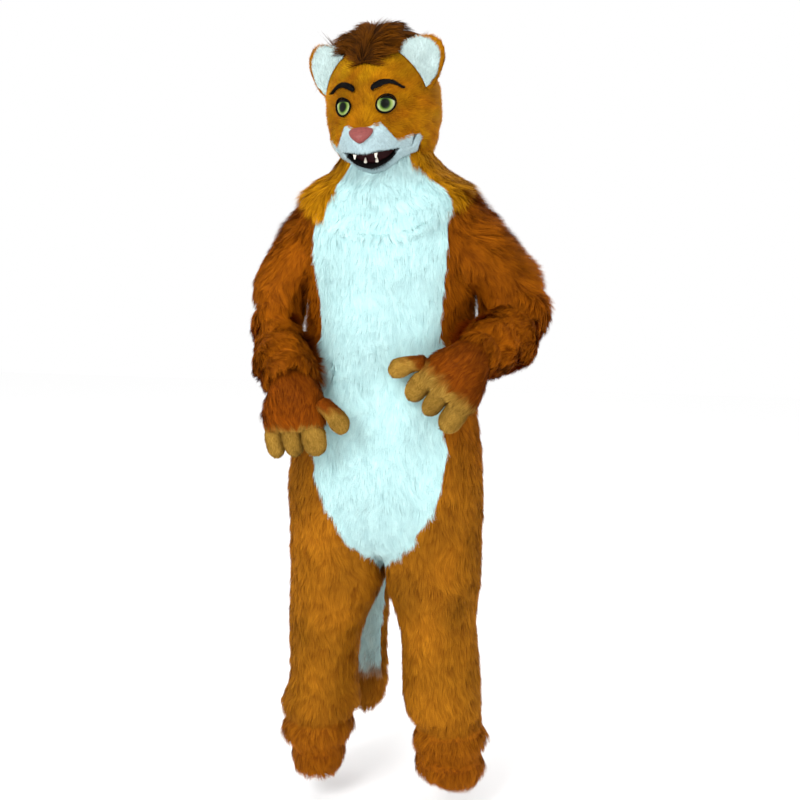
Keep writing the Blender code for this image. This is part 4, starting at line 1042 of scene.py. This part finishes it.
def pelt_material(name, scale):
    """The cloth that the fur stands on, a little uneven in tone and height."""
    made, shader, nodes, joins = new_material(name, roughness=0.9, shine=0.05)
    grain = grain_node(nodes, joins, scale, detail=4.0, stretch=(1.0, 1.0, 0.35))
    deep = nodes.new("ShaderNodeMapRange")
    for socket, value in (("From Min", 0.35), ("From Max", 0.70), ("To Min", 0.72), ("To Max", 1.10)):
        deep.inputs[socket].default_value = value
    joins.new(grain, deep.inputs["Value"])
    both = nodes.new("ShaderNodeVectorMath")
    both.operation = "SCALE"
    joins.new(tint_node(nodes), both.inputs[0])
    joins.new(deep.outputs["Result"], both.inputs["Scale"])
    joins.new(both.outputs[0], shader.inputs["Base Color"])
    bump_node(nodes, joins, shader, grain, strength=0.6, distance=0.003)
    return made


# A plain finish's grain: two positions in its noise, and what its colour is multiplied by there.
GRAIN_TONES = ((0.3, 0.78), (0.7, 1.15))


def simple_material(name, colour, roughness, grain_scale=60.0, bump_depth=0.0, coat=0.0, shine=0.25):
    made, shader, nodes, joins = new_material(name, roughness, shine)
    shader.inputs["Coat Weight"].default_value = coat
    grain = grain_node(nodes, joins, grain_scale, detail=5.0)
    stops = [(position, np.minimum(colour * tone, 1.0)) for position, tone in GRAIN_TONES]
    joins.new(ramp_node(nodes, joins, grain, stops), shader.inputs["Base Color"])
    if bump_depth:
        bump_node(nodes, joins, shader, grain, strength=0.7, distance=bump_depth)
    return made


# An eye's print: half the iris' width and height, how far its middle lies toward the nose, and the upper
# lid's edge, as a height, a bow and a blur, in halves of the iris.
IRIS_HALF = (0.0186, 0.0200)
PUPIL_INWARD = 0.0018
LID_HEIGHT = 0.50
LID_BOW = 0.22
LID_BLUR = 0.08
LID_BLACK = 0.002
IRIS_RINGS = (
    (0.0, srgb(6, 7, 5)),
    (0.42, srgb(6, 12, 3)),
    (0.52, srgb(30, 52, 12)),
    (0.64, srgb(88, 112, 42)),
    (0.78, srgb(128, 148, 80)),
    (0.92, srgb(150, 164, 112)),
    (1.00, srgb(168, 178, 146)),
)


def eye_material(name, node):
    """Iris, pupil and pale edge as rings about the eye's own middle, under a dark upper lid."""
    made, shader, nodes, joins = new_material(name, roughness=0.16, shine=0.12)
    low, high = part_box(node)
    middle = (low + high) / 2.0
    middle.x += PUPIL_INWARD * (-1.0 if side_of(node) == "left" else 1.0)
    out = Vector((middle.x - HEAD_MIDDLE[0], middle.y - HEAD_MIDDLE[1], 0.0)).normalized()
    shift = nodes.new("ShaderNodeVectorMath")
    shift.operation = "SUBTRACT"
    shift.inputs[1].default_value = middle
    joins.new(nodes.new("ShaderNodeTexCoord").outputs["Object"], shift.inputs[0])
    apart = []
    for axis, half in zip((UP.cross(out).normalized(), UP), IRIS_HALF):
        dot = nodes.new("ShaderNodeVectorMath")
        dot.operation = "DOT_PRODUCT"
        dot.inputs[1].default_value = axis / half
        joins.new(shift.outputs[0], dot.inputs[0])
        apart.append(dot.outputs["Value"])
    across, rise = apart
    square = math_node(nodes, joins, "MULTIPLY", across, across)
    both = math_node(nodes, joins, "ADD", square, math_node(nodes, joins, "MULTIPLY", rise, rise))
    rings = ramp_node(nodes, joins, math_node(nodes, joins, "SQRT", both), IRIS_RINGS)
    lid = nodes.new("ShaderNodeMapRange")
    lid.inputs["From Min"].default_value = LID_HEIGHT
    lid.inputs["From Max"].default_value = LID_HEIGHT + LID_BLUR
    joins.new(math_node(nodes, joins, "MULTIPLY_ADD", square, LID_BOW, rise), lid.inputs["Value"])
    shut = nodes.new("ShaderNodeMix")
    shut.data_type = "RGBA"
    joins.new(lid.outputs["Result"], shut.inputs["Factor"])
    joins.new(rings, shut.inputs["A"])
    shut.inputs["B"].default_value = (LID_BLACK, LID_BLACK, LID_BLACK, 1.0)
    joins.new(shut.outputs["Result"], shader.inputs["Base Color"])
    return made


FUR_STRANDS = fur_material()
LONG_PELT = pelt_material("pelt_long", 150.0)
FINE_PELT = pelt_material("pelt_fine", 260.0)


# The furred pieces: a pelt for each solid and the fur on it.
FINE_NODES = HEAD_NODES + FINGER_NODES + EAR_NODES + EAR_INNER_NODES
FINE_PARTS = 3
LONG_PARTS = 2
SMOOTH_PARTS = 2
PELT_MIX = (0.6, 0.4)


def paint_pelt(made, name):
    """Gives the cloth under the fur the colour that the fur has there."""
    count = len(made.data.vertices)
    points = np.zeros(count * 3, np.float64)
    made.data.vertices.foreach_get("co", points)
    dark, light = shades(name, points.reshape(-1, 3))
    colours = np.ones((count, 4), np.float32)
    colours[:, :3] = np.clip(dark * PELT_MIX[0] + light * PELT_MIX[1], 0.0, 1.0)
    tint(made, colours)


for name in FUR_NAMES:
    fine = name in FINE_NODES
    points, triangles = finer(name, FINE_PARTS if fine else LONG_PARTS, FURS[FUR_KIND[name]].inset)
    pelt = make_mesh(name + "_pelt", points, triangles)
    pelt.data.materials.append(FINE_PELT if fine else LONG_PELT)
    paint_pelt(pelt, name)
    fur = grow(name)
    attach(pelt, "root")
    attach(fur, "root")
    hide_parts(name)


# The smooth pieces of the face.
def plain_copy(name, material):
    points, triangles = finer(name, SMOOTH_PARTS, 0.0)
    made = make_mesh(name + "_smooth", points, triangles)
    made.data.materials.append(material)
    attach(made, "root")
    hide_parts(name)


for side in ("left", "right"):
    plain_copy("eye_" + side, eye_material("eye_" + side + "_print", "eye_" + side))
    rim = simple_material("rim_" + side, srgb(5, 4, 4), 0.9, 300.0, 0.0008, shine=0.06)
    plain_copy("eye_rim_" + side, rim)
    for row in ("upper", "lower"):
        tooth = f"tooth_{row}_{side}"
        plain_copy(tooth, simple_material(tooth, srgb(236, 230, 214), 0.3))
plain_copy("nose", simple_material("nose_cloth", srgb(126, 62, 58), 0.6, 240.0, 0.0010, 0.05))
plain_copy("mouth_lining", simple_material("mouth_cloth", srgb(46, 8, 12), 0.8, 120.0, 0.001))

# Floor, backdrop, light and camera.
PAPER_SIZE = 14.0
PAPER_WHITE = 0.97
# Each light: its name, its place, what it is turned to, its size and its power.
LIGHTS = (
    ("key", (-0.9, -3.3, 1.3), (0.0, 0.0, -0.4), 1.6, 110.0),
    ("fill", (2.4, -2.4, 0.4), (0.0, 0.0, -0.6), 2.0, 30.0),
    ("back", (0.6, 2.8, 1.8), (0.0, 0.0, -0.4), 1.6, 30.0),
)

bpy.ops.mesh.primitive_plane_add(size=PAPER_SIZE, location=(0.0, 0.0, FLOOR))
floor = bpy.context.active_object
floor.name = "floor"
paper, paper_shader, _, _ = new_material("paper_floor", roughness=1.0, shine=0.0)
paper_shader.inputs["Base Color"].default_value = (PAPER_WHITE, PAPER_WHITE, PAPER_WHITE, 1.0)
floor.data.materials.append(paper)


def area_light(name, place, target, size, power):
    light = bpy.data.lights.new(name, "AREA")
    light.size = size
    light.energy = power
    made = bpy.data.objects.new(name, light)
    made.location = place
    made.rotation_euler = (Vector(target) - Vector(place)).to_track_quat("-Z", "Y").to_euler()
    bpy.context.scene.collection.objects.link(made)


for light_row in LIGHTS:
    area_light(*light_row)

world = bpy.data.worlds.new("studio")
world.use_nodes = True
world.node_tree.nodes["Background"].inputs["Color"].default_value = (1.0, 1.0, 1.0, 1.0)
world.node_tree.nodes["Background"].inputs["Strength"].default_value = 1.0
bpy.context.scene.world = world
bpy.context.scene.view_settings.view_transform = "Standard"

right = Vector((math.cos(CAMERA_TURN), math.sin(CAMERA_TURN), 0.0))
back = Vector((math.sin(CAMERA_TURN), -math.cos(CAMERA_TURN), 0.0))
lens = bpy.data.cameras.new("camera")
lens.lens = LENS
lens.sensor_width = SENSOR
camera = bpy.data.objects.new("camera", lens)
camera.location = back * CAMERA_AWAY + right * CAMERA_ASIDE + UP * CAMERA_HIGH
camera.rotation_euler = (math.radians(90.0) - CAMERA_DIP, 0.0, CAMERA_TURN)
bpy.context.scene.collection.objects.link(camera)
bpy.context.scene.camera = camera
